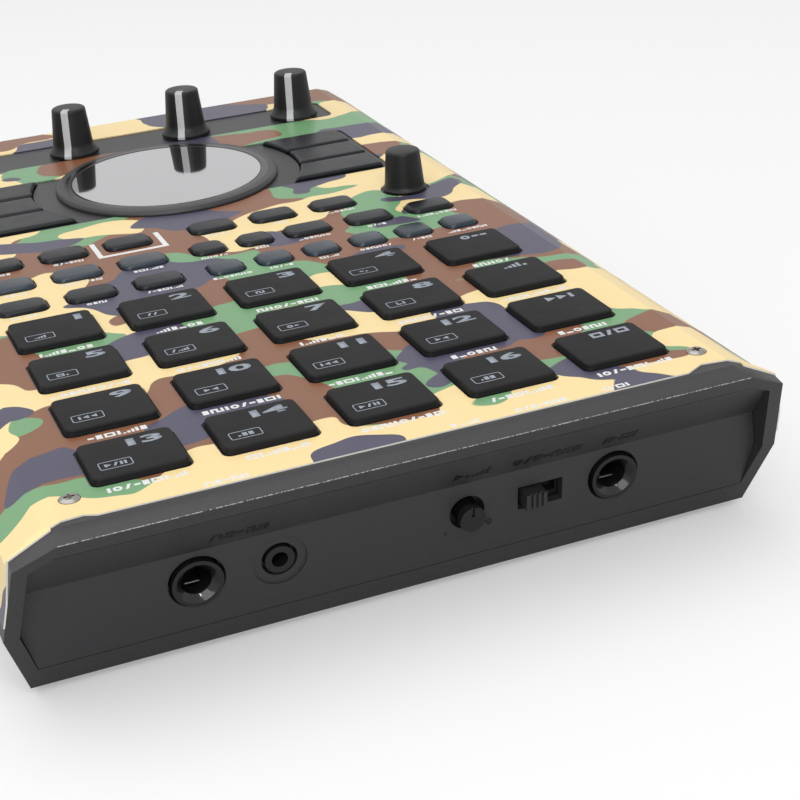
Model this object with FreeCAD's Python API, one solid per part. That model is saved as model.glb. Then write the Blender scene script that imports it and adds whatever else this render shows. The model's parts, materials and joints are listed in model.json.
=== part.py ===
import FreeCAD, Part
import math
import os

os.makedirs("parts", exist_ok=True)

# Battery powered sampler with sixteen pads, in millimetres.
# X runs to the right, Y to the back and Z up. The origin is under the middle of
# the case, on the surface that the feet stand on.

V = FreeCAD.Vector
UP = V(0, 0, 1)

# Case cross-section, heights counted from the bottom of the case
FOOT_HEIGHT = 2.2
SEAM_HEIGHT = 15.4
BASE_RUN = 4.3
SIDE_RUN = 3.55
SHOULDER_RUN = 10.9
SHOULDER_DROP = 3.7
PANEL_TILT = 3.0
PANEL_SIDE_MARGIN = 9.1
PANEL_REAR_MARGIN = 28.1

# Front and rear ends of the case
FRONT_LEAN = 23.95
BEVEL_RUN = 3.9
BEVEL_RISE = 2.1
REAR_BEVEL = 2.4
LIP_CORNER_RUN = 2.0
CORNER_DROP = 5.4
CORNER_RIM = 2.6

# Steep facet along each shoulder's outer edge, which fades out towards the front
FACET_RUN = 7.2
FACET_DROP = 3.2
FACET_FADE = 3.0

# Walls of the case
SIDE_WALL = 3.0
TOP_WALL = 2.4
BOTTOM_WALL = 2.4
FRAME_DEPTH = 9.0
RIM_WIDTH = 3.2
FRONT_OPENING_LOW = 5.1
FRONT_LIP = 3.1
REAR_OPENING_LOW = 5.0
REAR_LIP = 4.5
FIT_GAP = 0.1

# Jack panel, whose main band leans and whose upper band hangs further forward
JACK_BAND_LEAN = 9.2
JACK_BAND_TOP = 24.1
JACK_PANEL_WALL = 2.2
REAR_PANEL_WALL = 2.0
REAR_PANEL_RECESS = 2.5

# Clearances of the moving pieces
MOVING_GAP = 0.3
FLANGE_GAP = 0.15

# Pads in four columns and four rows, and a fifth column of function pads
PAD_WIDTH = 20.2
PAD_DEPTH = 17.2
PAD_PITCH_X = 27.55
PAD_PITCH_Y = 24.8
PAD_FIRST_Y = 20.8
PAD_RISE = 1.8
PAD_CORNER = 1.4
PAD_EDGE = 0.5
PAD_FLANGE = 1.2
PAD_FLANGE_THICKNESS = 1.0
PAD_TRAVEL = 1.0
PAD_COLUMNS = 5
PAD_ROWS = 4
SENSOR_MARGIN = 2.0
SENSOR_THICKNESS = 0.25

# Small keys, in three rows behind the pads
WIDE_KEY = 12.2
NARROW_KEY = 8.8
KEY_DEPTH = 8.0
KEY_RISE = 1.5
KEY_CORNER = 2.2
KEY_EDGE = 0.55
KEY_FLANGE = 0.8
KEY_FLANGE_THICKNESS = 0.8
KEY_TRAVEL = 0.7
KEY_SWITCH_RADIUS = 2.5
PADS_TO_KEYS = 20.8
KEY_ROW_PITCH = 16.25
LEFT_KEYS_X = -59.2
LEFT_KEYS_PITCH = 17.7
NARROW_KEYS_X = -5.8
NARROW_PITCH = 13.2
MIDDLE_WIDE_KEYS_X = 22.4
MIDDLE_WIDE_PITCH = 18.0
REAR_RIGHT_KEYS_X = 0.1
REAR_RIGHT_PITCH = 17.8

# Round display and the effect keys beside it
KEYS_TO_DISPLAY = 49.3
DISPLAY_X = 1.0
DISPLAY_RADIUS = 33.2
DISPLAY_RISE = 1.9
DISPLAY_STEP_RISE = 0.9
DISPLAY_BEVEL = 0.7
DISPLAY_LAND = 1.0
LENS_RADIUS = 28.2
LENS_THICKNESS = 1.35
LENS_LEDGE = 1.5
COLLAR_RADIUS = 30.0
DISPLAY_MODULE_SIZE = 37.0
EFFECT_KEY_DEPTH = 12.8
EFFECT_KEY_PITCH = 14.3
EFFECT_BEFORE_DISPLAY = 16.9
EFFECT_OUTER_X = 60.8
EFFECT_ARC_RADIUS = 40.2
EFFECT_RISE = 1.4
EFFECT_CORNER = 1.0
EFFECT_FLANGE = 1.0
EFFECT_EDGE = 0.35
EFFECT_ROWS = 3

# Knobs
DISPLAY_TO_KNOBS = 43.8
KNOB_COUNT = 4
KNOB_PITCH = 37.0
KNOB_HEIGHT = 15.2
KNOB_SKIRT_RADIUS = 7.8
KNOB_WAIST_RADIUS = 6.2
KNOB_TOP_RADIUS = 5.3
KNOB_SKIRT_HEIGHT = 4.0
KNOB_RIM = 0.8
KNOB_FLARE = 2.0
KNOB_ROUND = 0.5
KNOB_GAP = 0.6
VALUE_X = 59.0
KEYS_TO_VALUE = 2.5
VALUE_KNOB_HEIGHT = 12.0
VALUE_BASE_RADIUS = 6.3
VALUE_WAIST_RADIUS = 5.7
VALUE_TOP_RADIUS = 4.9
VALUE_SKIRT_HEIGHT = 1.6
VALUE_RIM = 0.3
VALUE_FLARE = 0.8
VALUE_PUSH = 0.45
PLUNGER_THICKNESS = 1.0
SHAFT_RADIUS = 3.0
SHAFT_CLEARANCE = 0.05
SHAFT_DEPTH_IN_KNOB = 9.0
SHAFT_DEPTH_IN_POT = 4.2
SHAFT_DEPTH_IN_ENCODER = 3.0
SHAFT_HOLE_RADIUS = 4.0
POT_WIDTH = 11.0
POT_DEPTH = 12.0
POT_HEIGHT = 10.1

# Boards
BOARD_THICKNESS = 1.6
CONTROL_BOARD_MARGIN = 0.2
BOARD_POST_RADIUS = 2.2
MAIN_BOARD_DEPTH = 170.0
MAIN_BOARD_GAP = 0.9
MAIN_BOARD_SIDE_GAP = 2.4
MAIN_BOARD_REAR_GAP = 7.4
MAIN_POST_RADIUS = 3.0
MAIN_POST_INSET = 5.0
CHIP_HEIGHT = 1.2
CHIPS = ((-20, 20, 17), (12, 24, 12), (34, 30, 14), (-46, 60, 10), (46, 62, 10), (0, -24, 9))
STACK_GAP = 0.5

# Adhesive skin over the top, the shoulders and the upper sides
SKIN_THICKNESS = 0.35
SKIN_FRONT_MARGIN = 0.8
SKIN_REAR_MARGIN = 1.2
SKIN_SIDE_LOW = 4.0
SKIN_MARGIN = 0.7
SKIN_CORNER = 3.0
SKIN_NOTCHES = ((-1, 9.0, 1.2), (1, 12.0, 2.6))
STRIP_SIDE_MARGIN = 11.6
STRIP_FRONT_MARGIN = 7.1
STRIP_REAR_MARGIN = 11.4
WING_MARGIN = 2.0

# Sockets on the front
JACK_HEIGHT = 16.6
PHONES_X = -48.1
MINI_PHONES_X = -30.0
GAIN_X = 12.8
INPUT_SWITCH_X = 30.4
INPUT_X = 48.4

# Sockets on the back, seen from the front
LINE_JACKS_X = -68.0
LINE_JACKS_PITCH = 18.0
LINE_JACKS = 4
DATA_JACKS_X = 2.0
DATA_JACKS_PITCH = 12.0
DATA_JACKS = 2
USB_X = 27.5
CARD_X = 30.0
DC_X = 48.0
POWER_SWITCH_X = 66.0

# Quarter inch sockets
JACK_BORE_RADIUS = 3.25
JACK_BORE_DEPTH = 24.0
JACK_NOSE_RADIUS = 5.6
JACK_NOSE_CLEARANCE = 0.6
JACK_NOSE_PROUD = 1.0
JACK_BODY_WIDTH = 15.0
JACK_BODY_DEPTH = 26.0
JACK_BODY_HEIGHT = 14.4
JACK_MOUTH_RADIUS = 4.7
JACK_MOUTH_DEPTH = 1.4

# Small sockets
MINI_BORE_RADIUS = 1.8
MINI_BORE_DEPTH = 12.0
MINI_NOSE_RADIUS = 3.3
MINI_NOSE_CLEARANCE = 0.7
MINI_DISH_RADIUS = 6.0
MINI_DISH_DEPTH = 0.5
MINI_BODY_WIDTH = 8.4
MINI_BODY_DEPTH = 13.0
MINI_BODY_HEIGHT = 7.0
DC_BORE_RADIUS = 3.2
DC_BORE_DEPTH = 9.5
DC_PIN_RADIUS = 1.0
DC_NOSE_WALL = 0.8
DC_BODY_WIDTH = 10.0
DC_BODY_DEPTH = 13.0
DC_BODY_HEIGHT = 11.0
USB_WIDTH = 9.0
USB_HEIGHT = 3.3
USB_DEPTH = 8.0
USB_WALL = 0.35
USB_TONGUE_WIDTH = 6.6
USB_TONGUE_SETBACK = 1.0
CARD_WIDTH = 27.0
CARD_HEIGHT = 2.9
CARD_DEPTH = 24.0
CARD_WALL = 0.4
SOCKET_CLEARANCE = 0.4
SOCKET_SETBACK = 0.2

# Gain knob and slide switches
GAIN_CAP_RADIUS = 3.0
GAIN_CAP_CLEARANCE = 1.1
GAIN_PROUD = 3.2
GAIN_SHAFT_RADIUS = 1.6
GAIN_SHAFT_DEPTH = 6.5
GAIN_MARK_WIDTH = 0.7
GAIN_MARK_DEPTH = 0.5
GAIN_MARK_START = 0.6
GAIN_BODY_WIDTH = 9.4
GAIN_BODY_DEPTH = 6.0
SWITCH_SLOT_WIDTH = 10.8
SWITCH_SLOT_HEIGHT = 5.8
SLIDER_WIDTH = 5.0
SLIDER_HEIGHT = 3.8
SLIDER_PROUD = 2.6
SLIDER_TRAVEL = 4.0
SLIDER_FOOT_HEIGHT = 2.6
SLIDER_FOOT_DEPTH = 2.0
SLIDER_RIBS = 3
SWITCH_BODY_WIDTH = 15.0
SWITCH_BODY_DEPTH = 4.4
SWITCH_BODY_HEIGHT = 7.6
SWITCH_SETBACK = 0.4

# Battery compartment for six AA cells
CELL_RADIUS = 7.1
CELL_LENGTH = 49.0
CELL_NUB_RADIUS = 2.75
CELL_NUB_LENGTH = 1.0
CELLS_IN_ROW = 2
CELL_ROWS = 3
CELL_GAP = 0.4
BAY_Y = 5.0
BAY_WALL = 1.6
COVER_THICKNESS = 2.1
COVER_LEDGE = 3.0
COVER_CLEARANCE = 0.2
COVER_CORNER = 3.0
GRIP_GROOVES = 5
GRIP_PITCH = 2.4
GRIP_LENGTH = 24.0
GRIP_WIDTH = 1.0
GRIP_DEPTH = 0.6
GRIP_INSET = 3.0
LEDGE_WALL = 1.6
CONTACT_THICKNESS = 0.4
CONTACT_HALF_WIDTH = 5.0
CONTACT_BUMP = 0.4
SPRING_ROOM = 3.6
SPRING_WIRE_RADIUS = 0.35
SPRING_RADIUS = 2.9
SPRING_TURNS = 3

# Feet and screws
FOOT_RADIUS = 6.5
FOOT_SEAT_DEPTH = 1.0
FOOT_SEAT_WALL = 1.5
FOOT_SIDE_INSET = 16.5
FOOT_FRONT_INSET = 34.0
FOOT_REAR_INSET = 18.0
SCREW_RADIUS = 1.4
SCREW_HEAD_RADIUS = 2.2
SCREW_HEAD_HEIGHT = 0.9
SCREW_CROWN_RADIUS = 1.4
SCREW_CROSS_REACH = 1.1
SCREW_CROSS_WIDTH = 0.6
SCREW_CROSS_DEPTH = 0.6
SCREW_CLEARANCE = 0.05
CASE_SCREW_SIDE_INSET = 12.75
CASE_SCREW_FRONT_INSET = 46.0
CASE_SCREW_REAR_INSET = 40.0
CASE_SCREW_LENGTH = 20.0
CASE_BOSS_RADIUS = 3.6
SLEEVE_WALL = 1.0
HEAD_RECESS_DEPTH = 4.0
TOP_SCREW_INSET = 3.5
TOP_SCREW_Y = 9.7
TOP_SCREW_LENGTH = 9.0
TOP_BOSS_RADIUS = 2.6
MAIN_SCREW_LENGTH = 8.0

# The control field sets the size of the panel, and the panel that of the case
PAD_FIELD_WIDTH = (PAD_COLUMNS - 1) * PAD_PITCH_X + PAD_WIDTH
PANEL_WIDTH = PAD_FIELD_WIDTH + 2 * PANEL_SIDE_MARGIN
SHOULDER_WIDTH = PANEL_WIDTH + 2 * SHOULDER_RUN
CASE_WIDTH = SHOULDER_WIDTH + 2 * SIDE_RUN
BASE_WIDTH = CASE_WIDTH - 2 * BASE_RUN
FRONT_KEYS_Y = PAD_FIRST_Y + (PAD_ROWS - 1) * PAD_PITCH_Y + PADS_TO_KEYS
MIDDLE_KEYS_Y = FRONT_KEYS_Y + KEY_ROW_PITCH
REAR_KEYS_Y = MIDDLE_KEYS_Y + KEY_ROW_PITCH
VALUE_Y = REAR_KEYS_Y + KEYS_TO_VALUE
DISPLAY_Y = REAR_KEYS_Y + KEYS_TO_DISPLAY
EFFECT_FIRST_Y = DISPLAY_Y - EFFECT_BEFORE_DISPLAY
EFFECT_LAST_Y = EFFECT_FIRST_Y + (EFFECT_ROWS - 1) * EFFECT_KEY_PITCH
KNOB_ROW_Y = DISPLAY_Y + DISPLAY_TO_KNOBS
PANEL_DEPTH = KNOB_ROW_Y + PANEL_REAR_MARGIN
TILT = math.radians(PANEL_TILT)
CASE_DEPTH = BEVEL_RUN + PANEL_DEPTH * math.cos(TILT) + REAR_BEVEL
FRONT_EDGE_Y = -CASE_DEPTH / 2
REAR_FACE_Y = CASE_DEPTH / 2

# Depths below the panel's outside, where a pressed pad just misses its sensor
FLANGE_TOP = -TOP_WALL - FLANGE_GAP
CONTROL_BOARD_TOP = FLANGE_TOP - PAD_FLANGE_THICKNESS - PAD_TRAVEL - FIT_GAP - SENSOR_THICKNESS
CONTROL_BOARD_BOTTOM = CONTROL_BOARD_TOP - BOARD_THICKNESS
KEY_SWITCH_TOP = FLANGE_TOP - KEY_FLANGE_THICKNESS - KEY_TRAVEL - FIT_GAP
POT_FLOOR = CONTROL_BOARD_BOTTOM - POT_HEIGHT

# The battery compartment, the main board, a socket and a pot stack up to the panel
CASE_BOTTOM = FOOT_HEIGHT
SEAM_Z = CASE_BOTTOM + SEAM_HEIGHT
COVER_TOP_Z = CASE_BOTTOM + COVER_THICKNESS
CELL_AXIS_Z = COVER_TOP_Z + 2 * MOVING_GAP + CELL_RADIUS
BAY_ROOF_Z = CELL_AXIS_Z + CELL_RADIUS + MOVING_GAP
MAIN_BOARD_Z = BAY_ROOF_Z + BAY_WALL + MAIN_BOARD_GAP
MAIN_BOARD_TOP_Z = MAIN_BOARD_Z + BOARD_THICKNESS
SOCKET_TOP_Z = MAIN_BOARD_TOP_Z + JACK_BODY_HEIGHT
PANEL_Z = SOCKET_TOP_Z + STACK_GAP - POT_FLOOR * math.cos(TILT) - KNOB_ROW_Y * math.sin(TILT)
PANEL_REAR_Z = PANEL_Z + PANEL_DEPTH * math.sin(TILT)
LIP_Z = PANEL_Z - BEVEL_RISE

# Slopes, directions and the panel's own frame
FRONT_SLOPE = math.tan(math.radians(FRONT_LEAN))
FRONT_BASE_Y = FRONT_EDGE_Y + FRONT_SLOPE * (LIP_Z - CASE_BOTTOM)
PANEL_Y = FRONT_EDGE_Y + BEVEL_RUN
PANEL_NORMAL = V(0, -math.sin(TILT), math.cos(TILT))
PANEL_BACKWARD = V(0, math.cos(TILT), math.sin(TILT))
PANEL_PLACE = FreeCAD.Placement(V(0, PANEL_Y, PANEL_Z), FreeCAD.Rotation(V(1, 0, 0), PANEL_TILT))
SIDE_SLOPE = SIDE_RUN / (PANEL_Z - SHOULDER_DROP - SEAM_Z)
BASE_SLOPE = BASE_RUN / SEAM_HEIGHT
SHOULDER_SLOPE = SHOULDER_DROP / SHOULDER_RUN

# Holes and places that follow
SCREW_HOLE_RADIUS = SCREW_RADIUS + SCREW_CLEARANCE
JACK_HOLE_RADIUS = JACK_NOSE_RADIUS + JACK_NOSE_CLEARANCE
MINI_HOLE_RADIUS = MINI_NOSE_RADIUS + MINI_NOSE_CLEARANCE
REAR_OUTSIDE_Y = REAR_FACE_Y - REAR_PANEL_RECESS
CASE_SCREW_X = CASE_WIDTH / 2 - CASE_SCREW_SIDE_INSET
TOP_SCREW_X = PANEL_WIDTH / 2 - TOP_SCREW_INSET
MAIN_BOARD_HALF_WIDTH = CASE_SCREW_X - CASE_BOSS_RADIUS - MAIN_BOARD_SIDE_GAP
MAIN_BOARD_REAR_Y = REAR_OUTSIDE_Y - REAR_PANEL_WALL - MAIN_BOARD_REAR_GAP
MAIN_BOARD_FRONT_Y = MAIN_BOARD_REAR_Y - MAIN_BOARD_DEPTH
SOCKET_AXIS_Z = MAIN_BOARD_TOP_Z + JACK_BODY_HEIGHT / 2
CELL_WHOLE = CELL_LENGTH + CELL_NUB_LENGTH
ROW_LENGTH = CELLS_IN_ROW * CELL_WHOLE
BAY_HALF_LENGTH = (ROW_LENGTH + SPRING_ROOM + 2 * CONTACT_THICKNESS + CONTACT_BUMP + FIT_GAP) / 2
CELL_ROW_PITCH = 2 * CELL_RADIUS + CELL_GAP
BAY_HALF_WIDTH = (CELL_ROWS * CELL_ROW_PITCH + CELL_GAP) / 2
BIG = 4 * CASE_DEPTH


def half_space(point, normal):
    """Everything on the outer side of a plane."""
    block = Part.makeBox(BIG, BIG, BIG, V(-BIG / 2, -BIG / 2, 0))
    block.Placement = FreeCAD.Placement(point, FreeCAD.Rotation(UP, normal))
    return block


def mirrored(planes):
    """Planes given for the right side, with their twins on the left."""
    both = []
    for point, normal in planes:
        both.append((point, normal))
        both.append((V(-point.x, point.y, point.z), V(-normal.x, normal.y, normal.z)))
    return both


def case_planes():
    """The flat faces of the closed case, by group, as point and outward normal."""
    shoulder_normal = V(SHOULDER_SLOPE, PANEL_NORMAL.y, PANEL_NORMAL.z)
    panel_edge = V(PANEL_WIDTH / 2, PANEL_Y, PANEL_Z)
    lip_corner = V(PANEL_WIDTH / 2 + LIP_CORNER_RUN, FRONT_EDGE_Y, LIP_Z)
    bevel_normal = V(0, -BEVEL_RISE, BEVEL_RUN)
    corner_low = V(SHOULDER_WIDTH / 2, PANEL_Y, PANEL_Z - CORNER_DROP)
    corner_normal = (corner_low - panel_edge).cross(lip_corner - panel_edge)
    if corner_normal.z < 0:
        corner_normal = corner_normal * -1
    rear_top = V(0, REAR_FACE_Y, PANEL_REAR_Z - REAR_BEVEL)
    return {
        "bottom": [(V(0, 0, CASE_BOTTOM), V(0, 0, -1))],
        "top": [(V(0, PANEL_Y, PANEL_Z), PANEL_NORMAL)],
        "upper_sides": mirrored([(V(CASE_WIDTH / 2, 0, SEAM_Z), V(1, 0, SIDE_SLOPE))]),
        "lower_sides": mirrored([(V(CASE_WIDTH / 2, 0, SEAM_Z), V(1, 0, -BASE_SLOPE))]),
        "shoulders": mirrored([(panel_edge, shoulder_normal)]),
        "front": [(V(0, FRONT_BASE_Y, CASE_BOTTOM), V(0, -1, -FRONT_SLOPE))],
        "rear": [(V(0, REAR_FACE_Y, 0), V(0, 1, 0))],
        "front_bevel": [(lip_corner, bevel_normal)],
        "front_corners": mirrored([(lip_corner, corner_normal)]),
        "rear_bevel": [(rear_top, V(0, 1, 1))],
    }


def case_block(insets=None):
    """The closed outside of the case, with named groups of faces moved inwards."""
    insets = insets or {}
    block = Part.makeBox(BIG / 2, BIG / 2, BIG / 2, V(-BIG / 4, -BIG / 4, -BIG / 4))
    for group, planes in case_planes().items():
        for point, normal in planes:
            outward = V(normal).normalize()
            block = block.cut(half_space(point - outward * insets.get(group, 0), outward))
    return without(block, edge_facets(insets.get("facets", 0)))


def edge_facets(inset):
    """Cutters along the outer edges of both shoulders, moved inwards by an inset."""
    edge = V(SHOULDER_WIDTH / 2, PANEL_Y, PANEL_Z - SHOULDER_DROP)
    high = edge + V(-FACET_RUN, 0, FACET_RUN * SHOULDER_SLOPE)
    low = edge + V(FACET_DROP * SIDE_SLOPE, 0, -FACET_DROP)
    faded = PANEL_BACKWARD * FACET_FADE
    steady = (low - high).cross(PANEL_BACKWARD).normalize()
    fading = (low + faded - edge).cross(high + faded - edge).normalize()
    right = half_space(high - steady * inset, steady).common(half_space(edge - fading * inset, fading))
    return [right, right.mirror(V(0, 0, 0), V(1, 0, 0))]


def prism(points, depth, direction=UP):
    """A straight solid over a closed outline of corner points."""
    wire = Part.makePolygon(points + [points[0]])
    return Part.Face(wire).extrude(direction * depth)


def box(x0, x1, y0, y1, z0, z1):
    """A block between its low and high corners."""
    return Part.makeBox(x1 - x0, y1 - y0, z1 - z0, V(x0, y0, z0))


def cylinder(radius, x, y, z0, z1):
    """An upright cylinder."""
    return Part.makeCylinder(radius, z1 - z0, V(x, y, z0))


def bar_along_y(radius, x, z, y0, y1):
    """A cylinder that lies along Y."""
    return Part.makeCylinder(radius, y1 - y0, V(x, y0, z), V(0, 1, 0))


def rounded_block(x, y, width, depth, corner, z0, z1, edge=0.0):
    """A block with rounded upright corners and a bevelled top edge."""
    left, right = x - width / 2, x + width / 2
    front, back = y - depth / 2, y + depth / 2
    turn = corner * (1 - math.sqrt(0.5))
    corners = (
        (V(right - corner, front, z0), V(right - turn, front + turn, z0), V(right, front + corner, z0)),
        (V(right, back - corner, z0), V(right - turn, back - turn, z0), V(right - corner, back, z0)),
        (V(left + corner, back, z0), V(left + turn, back - turn, z0), V(left, back - corner, z0)),
        (V(left, front + corner, z0), V(left + turn, front + turn, z0), V(left + corner, front, z0)),
    )
    edges = []
    for index, (start, middle, end) in enumerate(corners):
        edges.append(Part.Arc(start, middle, end).toShape())
        edges.append(Part.LineSegment(end, corners[(index + 1) % 4][0]).toShape())
    solid = Part.Face(Part.Wire(edges)).extrude(V(0, 0, z1 - z0))
    if edge:
        rim = [e for e in solid.Edges if abs(e.BoundBox.ZMin - z1) < 1e-6]
        solid = solid.makeChamfer(edge, rim)
    return solid


def turned(profile, x=0.0, y=0.0):
    """A solid of revolution about an upright axis, from radius and height pairs."""
    points = [V(radius, 0, height) for radius, height in profile]
    face = Part.Face(Part.makePolygon(points + [points[0]]))
    solid = face.revolve(V(0, 0, 0), UP, 360)
    solid.translate(V(x, y, 0))
    return solid


def joined(shapes):
    """One solid made of shapes that meet or overlap."""
    return shapes[0].multiFuse(shapes[1:]).removeSplitter()


def without(shape, cutters):
    """A shape less a list of others."""
    return shape.cut(Part.makeCompound(cutters)) if cutters else shape


def on_panel(shape):
    """A shape drawn on the flat top, moved to its place on the tilted panel."""
    placed = shape.copy()
    placed.Placement = PANEL_PLACE.multiply(placed.Placement)
    return placed


def export(name, shape):
    """One file per piece, or per group of like pieces."""
    solids = shape.Solids
    whole = solids[0] if len(solids) == 1 else Part.makeCompound(solids)
    whole.exportStep("parts/" + name + ".step")


# Places of the controls on the top panel
def pad_places():
    """Column, row, x and y of every pad, the front row first."""
    places = []
    for row in range(PAD_ROWS):
        for column in range(PAD_COLUMNS):
            x = (column - (PAD_COLUMNS - 1) / 2) * PAD_PITCH_X
            places.append((column, row, x, PAD_FIRST_Y + row * PAD_PITCH_Y))
    return places


def key_rows():
    """Each group of small keys that shares one rubber strip, as x, y and width."""
    left = [LEFT_KEYS_X + i * LEFT_KEYS_PITCH for i in range(3)]
    narrow = [NARROW_KEYS_X + i * NARROW_PITCH for i in range(6)]
    middle_wide = [MIDDLE_WIDE_KEYS_X + i * MIDDLE_WIDE_PITCH for i in range(3)]
    rear_right = [REAR_RIGHT_KEYS_X + i * REAR_RIGHT_PITCH for i in range(3)]
    middle_right = [(x, MIDDLE_KEYS_Y, NARROW_KEY) for x in narrow[:2]]
    middle_right += [(x, MIDDLE_KEYS_Y, WIDE_KEY) for x in middle_wide]
    return {
        "left_keys_front": [(x, FRONT_KEYS_Y, WIDE_KEY) for x in left],
        "left_keys_middle": [(x, MIDDLE_KEYS_Y, WIDE_KEY) for x in left],
        "left_keys_rear": [(x, REAR_KEYS_Y, WIDE_KEY) for x in left],
        "right_keys_front": [(x, FRONT_KEYS_Y, NARROW_KEY) for x in narrow],
        "right_keys_middle": middle_right,
        "right_keys_rear": [(x, REAR_KEYS_Y, WIDE_KEY) for x in rear_right],
    }


def knob_places():
    """The four knobs behind the display, from left to right."""
    return [(DISPLAY_X + (i - (KNOB_COUNT - 1) / 2) * KNOB_PITCH, KNOB_ROW_Y) for i in range(KNOB_COUNT)]


def board_posts():
    """Places where the control board is screwed to the panel, between the controls."""
    x = (PAD_COLUMNS - 2) / 2 * PAD_PITCH_X
    pad_gap = PAD_FIRST_Y + PAD_PITCH_Y / 2
    left_block_end = LEFT_KEYS_X + 2 * LEFT_KEYS_PITCH + WIDE_KEY / 2
    between_blocks = (left_block_end + NARROW_KEYS_X - NARROW_KEY / 2) / 2
    knob_gap = KNOB_ROW_Y - (KNOB_ROW_Y - EFFECT_LAST_Y) / 2
    posts = [(side * x, y) for side in (-1, 1) for y in (pad_gap, pad_gap + 2 * PAD_PITCH_Y, knob_gap)]
    return posts + [(between_blocks, MIDDLE_KEYS_Y)]


# Control openings in the panel
def effect_window(side, grow):
    """The opening for the three effect keys on one side of the display."""
    first = EFFECT_FIRST_Y - EFFECT_KEY_DEPTH / 2 - grow
    last = EFFECT_LAST_Y + EFFECT_KEY_DEPTH / 2 + grow
    inner = EFFECT_ARC_RADIUS / 2
    outer = EFFECT_OUTER_X + grow
    window = rounded_block((inner + outer) / 2, (first + last) / 2, outer - inner, last - first,
                           EFFECT_CORNER + grow, -2 * TOP_WALL, 2 * TOP_WALL)
    window = window.cut(cylinder(EFFECT_ARC_RADIUS - grow, 0, DISPLAY_Y, -3 * TOP_WALL, 3 * TOP_WALL))
    if side < 0:
        window = window.mirror(V(0, 0, 0), V(1, 0, 0))
    window.translate(V(DISPLAY_X, 0, 0))
    return window


def control_openings(grow):
    """Cutters for every control that comes up through the panel."""
    low, high = -2 * TOP_WALL, 2 * TOP_WALL
    cutters = []
    for _, _, x, y in pad_places():
        cutters.append(rounded_block(x, y, PAD_WIDTH + 2 * grow, PAD_DEPTH + 2 * grow,
                                     PAD_CORNER + grow, low, high))
    for keys in key_rows().values():
        for x, y, width in keys:
            cutters.append(rounded_block(x, y, width + 2 * grow, KEY_DEPTH + 2 * grow,
                                         KEY_CORNER + grow, low, high))
    return cutters


def top_case():
    """Upper half of the case, open below and at both ends."""
    shell = case_block().cut(half_space(V(0, 0, SEAM_Z), V(0, 0, -1)))
    posts = [on_panel(cylinder(BOARD_POST_RADIUS, x, y, CONTROL_BOARD_TOP, -TOP_WALL / 2))
             for x, y in board_posts()]
    shell = shell.cut(cavity()).cut(front_opening(0)).cut(rear_opening(0))
    shell = joined([shell] + posts + case_bosses(SEAM_Z))
    panel_cutters = control_openings(MOVING_GAP)
    panel_cutters += [effect_window(side, MOVING_GAP) for side in (-1, 1)]
    panel_cutters.append(cylinder(COLLAR_RADIUS + FIT_GAP, DISPLAY_X, DISPLAY_Y, -2 * TOP_WALL, 2 * TOP_WALL))
    for x, y in knob_places() + [(VALUE_X, VALUE_Y)]:
        panel_cutters.append(cylinder(SHAFT_HOLE_RADIUS, x, y, -2 * TOP_WALL, 2 * TOP_WALL))
    for x, y in board_posts():
        panel_cutters.append(cylinder(SCREW_HOLE_RADIUS, x, y, CONTROL_BOARD_TOP - 1, -TOP_WALL / 2))
    for side in (-1, 1):
        panel_cutters.append(cylinder(SCREW_HOLE_RADIUS, side * TOP_SCREW_X, TOP_SCREW_Y,
                                      -3 * TOP_WALL, TOP_WALL))
    shell = without(shell, [on_panel(cutter) for cutter in panel_cutters])
    return without(shell, case_screw_holes(SCREW_HOLE_RADIUS))


def cavity():
    """The space inside the case, between its front and rear frames."""
    return case_block({
        "bottom": BOTTOM_WALL, "top": TOP_WALL, "upper_sides": SIDE_WALL, "lower_sides": SIDE_WALL,
        "shoulders": TOP_WALL, "facets": TOP_WALL, "front": FRAME_DEPTH, "rear": FRAME_DEPTH,
    })


def front_opening(gap):
    """The opening at the front that the jack panel fills, less a gap all round."""
    rim = RIM_WIDTH + gap
    block = case_block({"upper_sides": rim, "lower_sides": rim, "shoulders": FRONT_LIP + gap,
                        "facets": rim, "front": -FRAME_DEPTH, "front_bevel": -FRAME_DEPTH,
                        "front_corners": CORNER_RIM + gap, "rear": FRAME_DEPTH})
    low = CASE_BOTTOM + FRONT_OPENING_LOW + gap
    high = LIP_Z - FRONT_LIP - gap
    depth = 2 * FRAME_DEPTH + FRONT_SLOPE * LIP_Z
    slab = box(-CASE_WIDTH, CASE_WIDTH, FRONT_EDGE_Y - FRAME_DEPTH, FRONT_EDGE_Y + depth, low, high)
    return block.common(slab)


def rear_opening(gap):
    """The opening at the back that the rear panel fills, less a gap all round."""
    rim = RIM_WIDTH + gap
    block = case_block({"upper_sides": rim, "lower_sides": rim, "shoulders": rim, "facets": rim,
                        "rear": -FRAME_DEPTH, "rear_bevel": -FRAME_DEPTH, "front": FRAME_DEPTH})
    low = CASE_BOTTOM + REAR_OPENING_LOW + gap
    high = PANEL_REAR_Z - REAR_LIP - gap
    slab = box(-CASE_WIDTH, CASE_WIDTH, REAR_FACE_Y - 2 * FRAME_DEPTH, REAR_FACE_Y + FRAME_DEPTH, low, high)
    return block.common(slab)


def case_screw_places():
    """The screws that join the two halves, from below."""
    front = FRONT_EDGE_Y + CASE_SCREW_FRONT_INSET
    rear = REAR_FACE_Y - CASE_SCREW_REAR_INSET
    return [(side * CASE_SCREW_X, y) for side in (-1, 1) for y in (front, (front + rear) / 2, rear)]


def case_bosses(low):
    """Posts in the upper half that the case screws bite into."""
    inside = case_block({"top": TOP_WALL / 2, "shoulders": TOP_WALL / 2, "facets": TOP_WALL / 2,
                         "upper_sides": SIDE_WALL / 2})
    return [cylinder(CASE_BOSS_RADIUS, x, y, low, BIG / 4).common(inside)
            for x, y in case_screw_places()]


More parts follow.
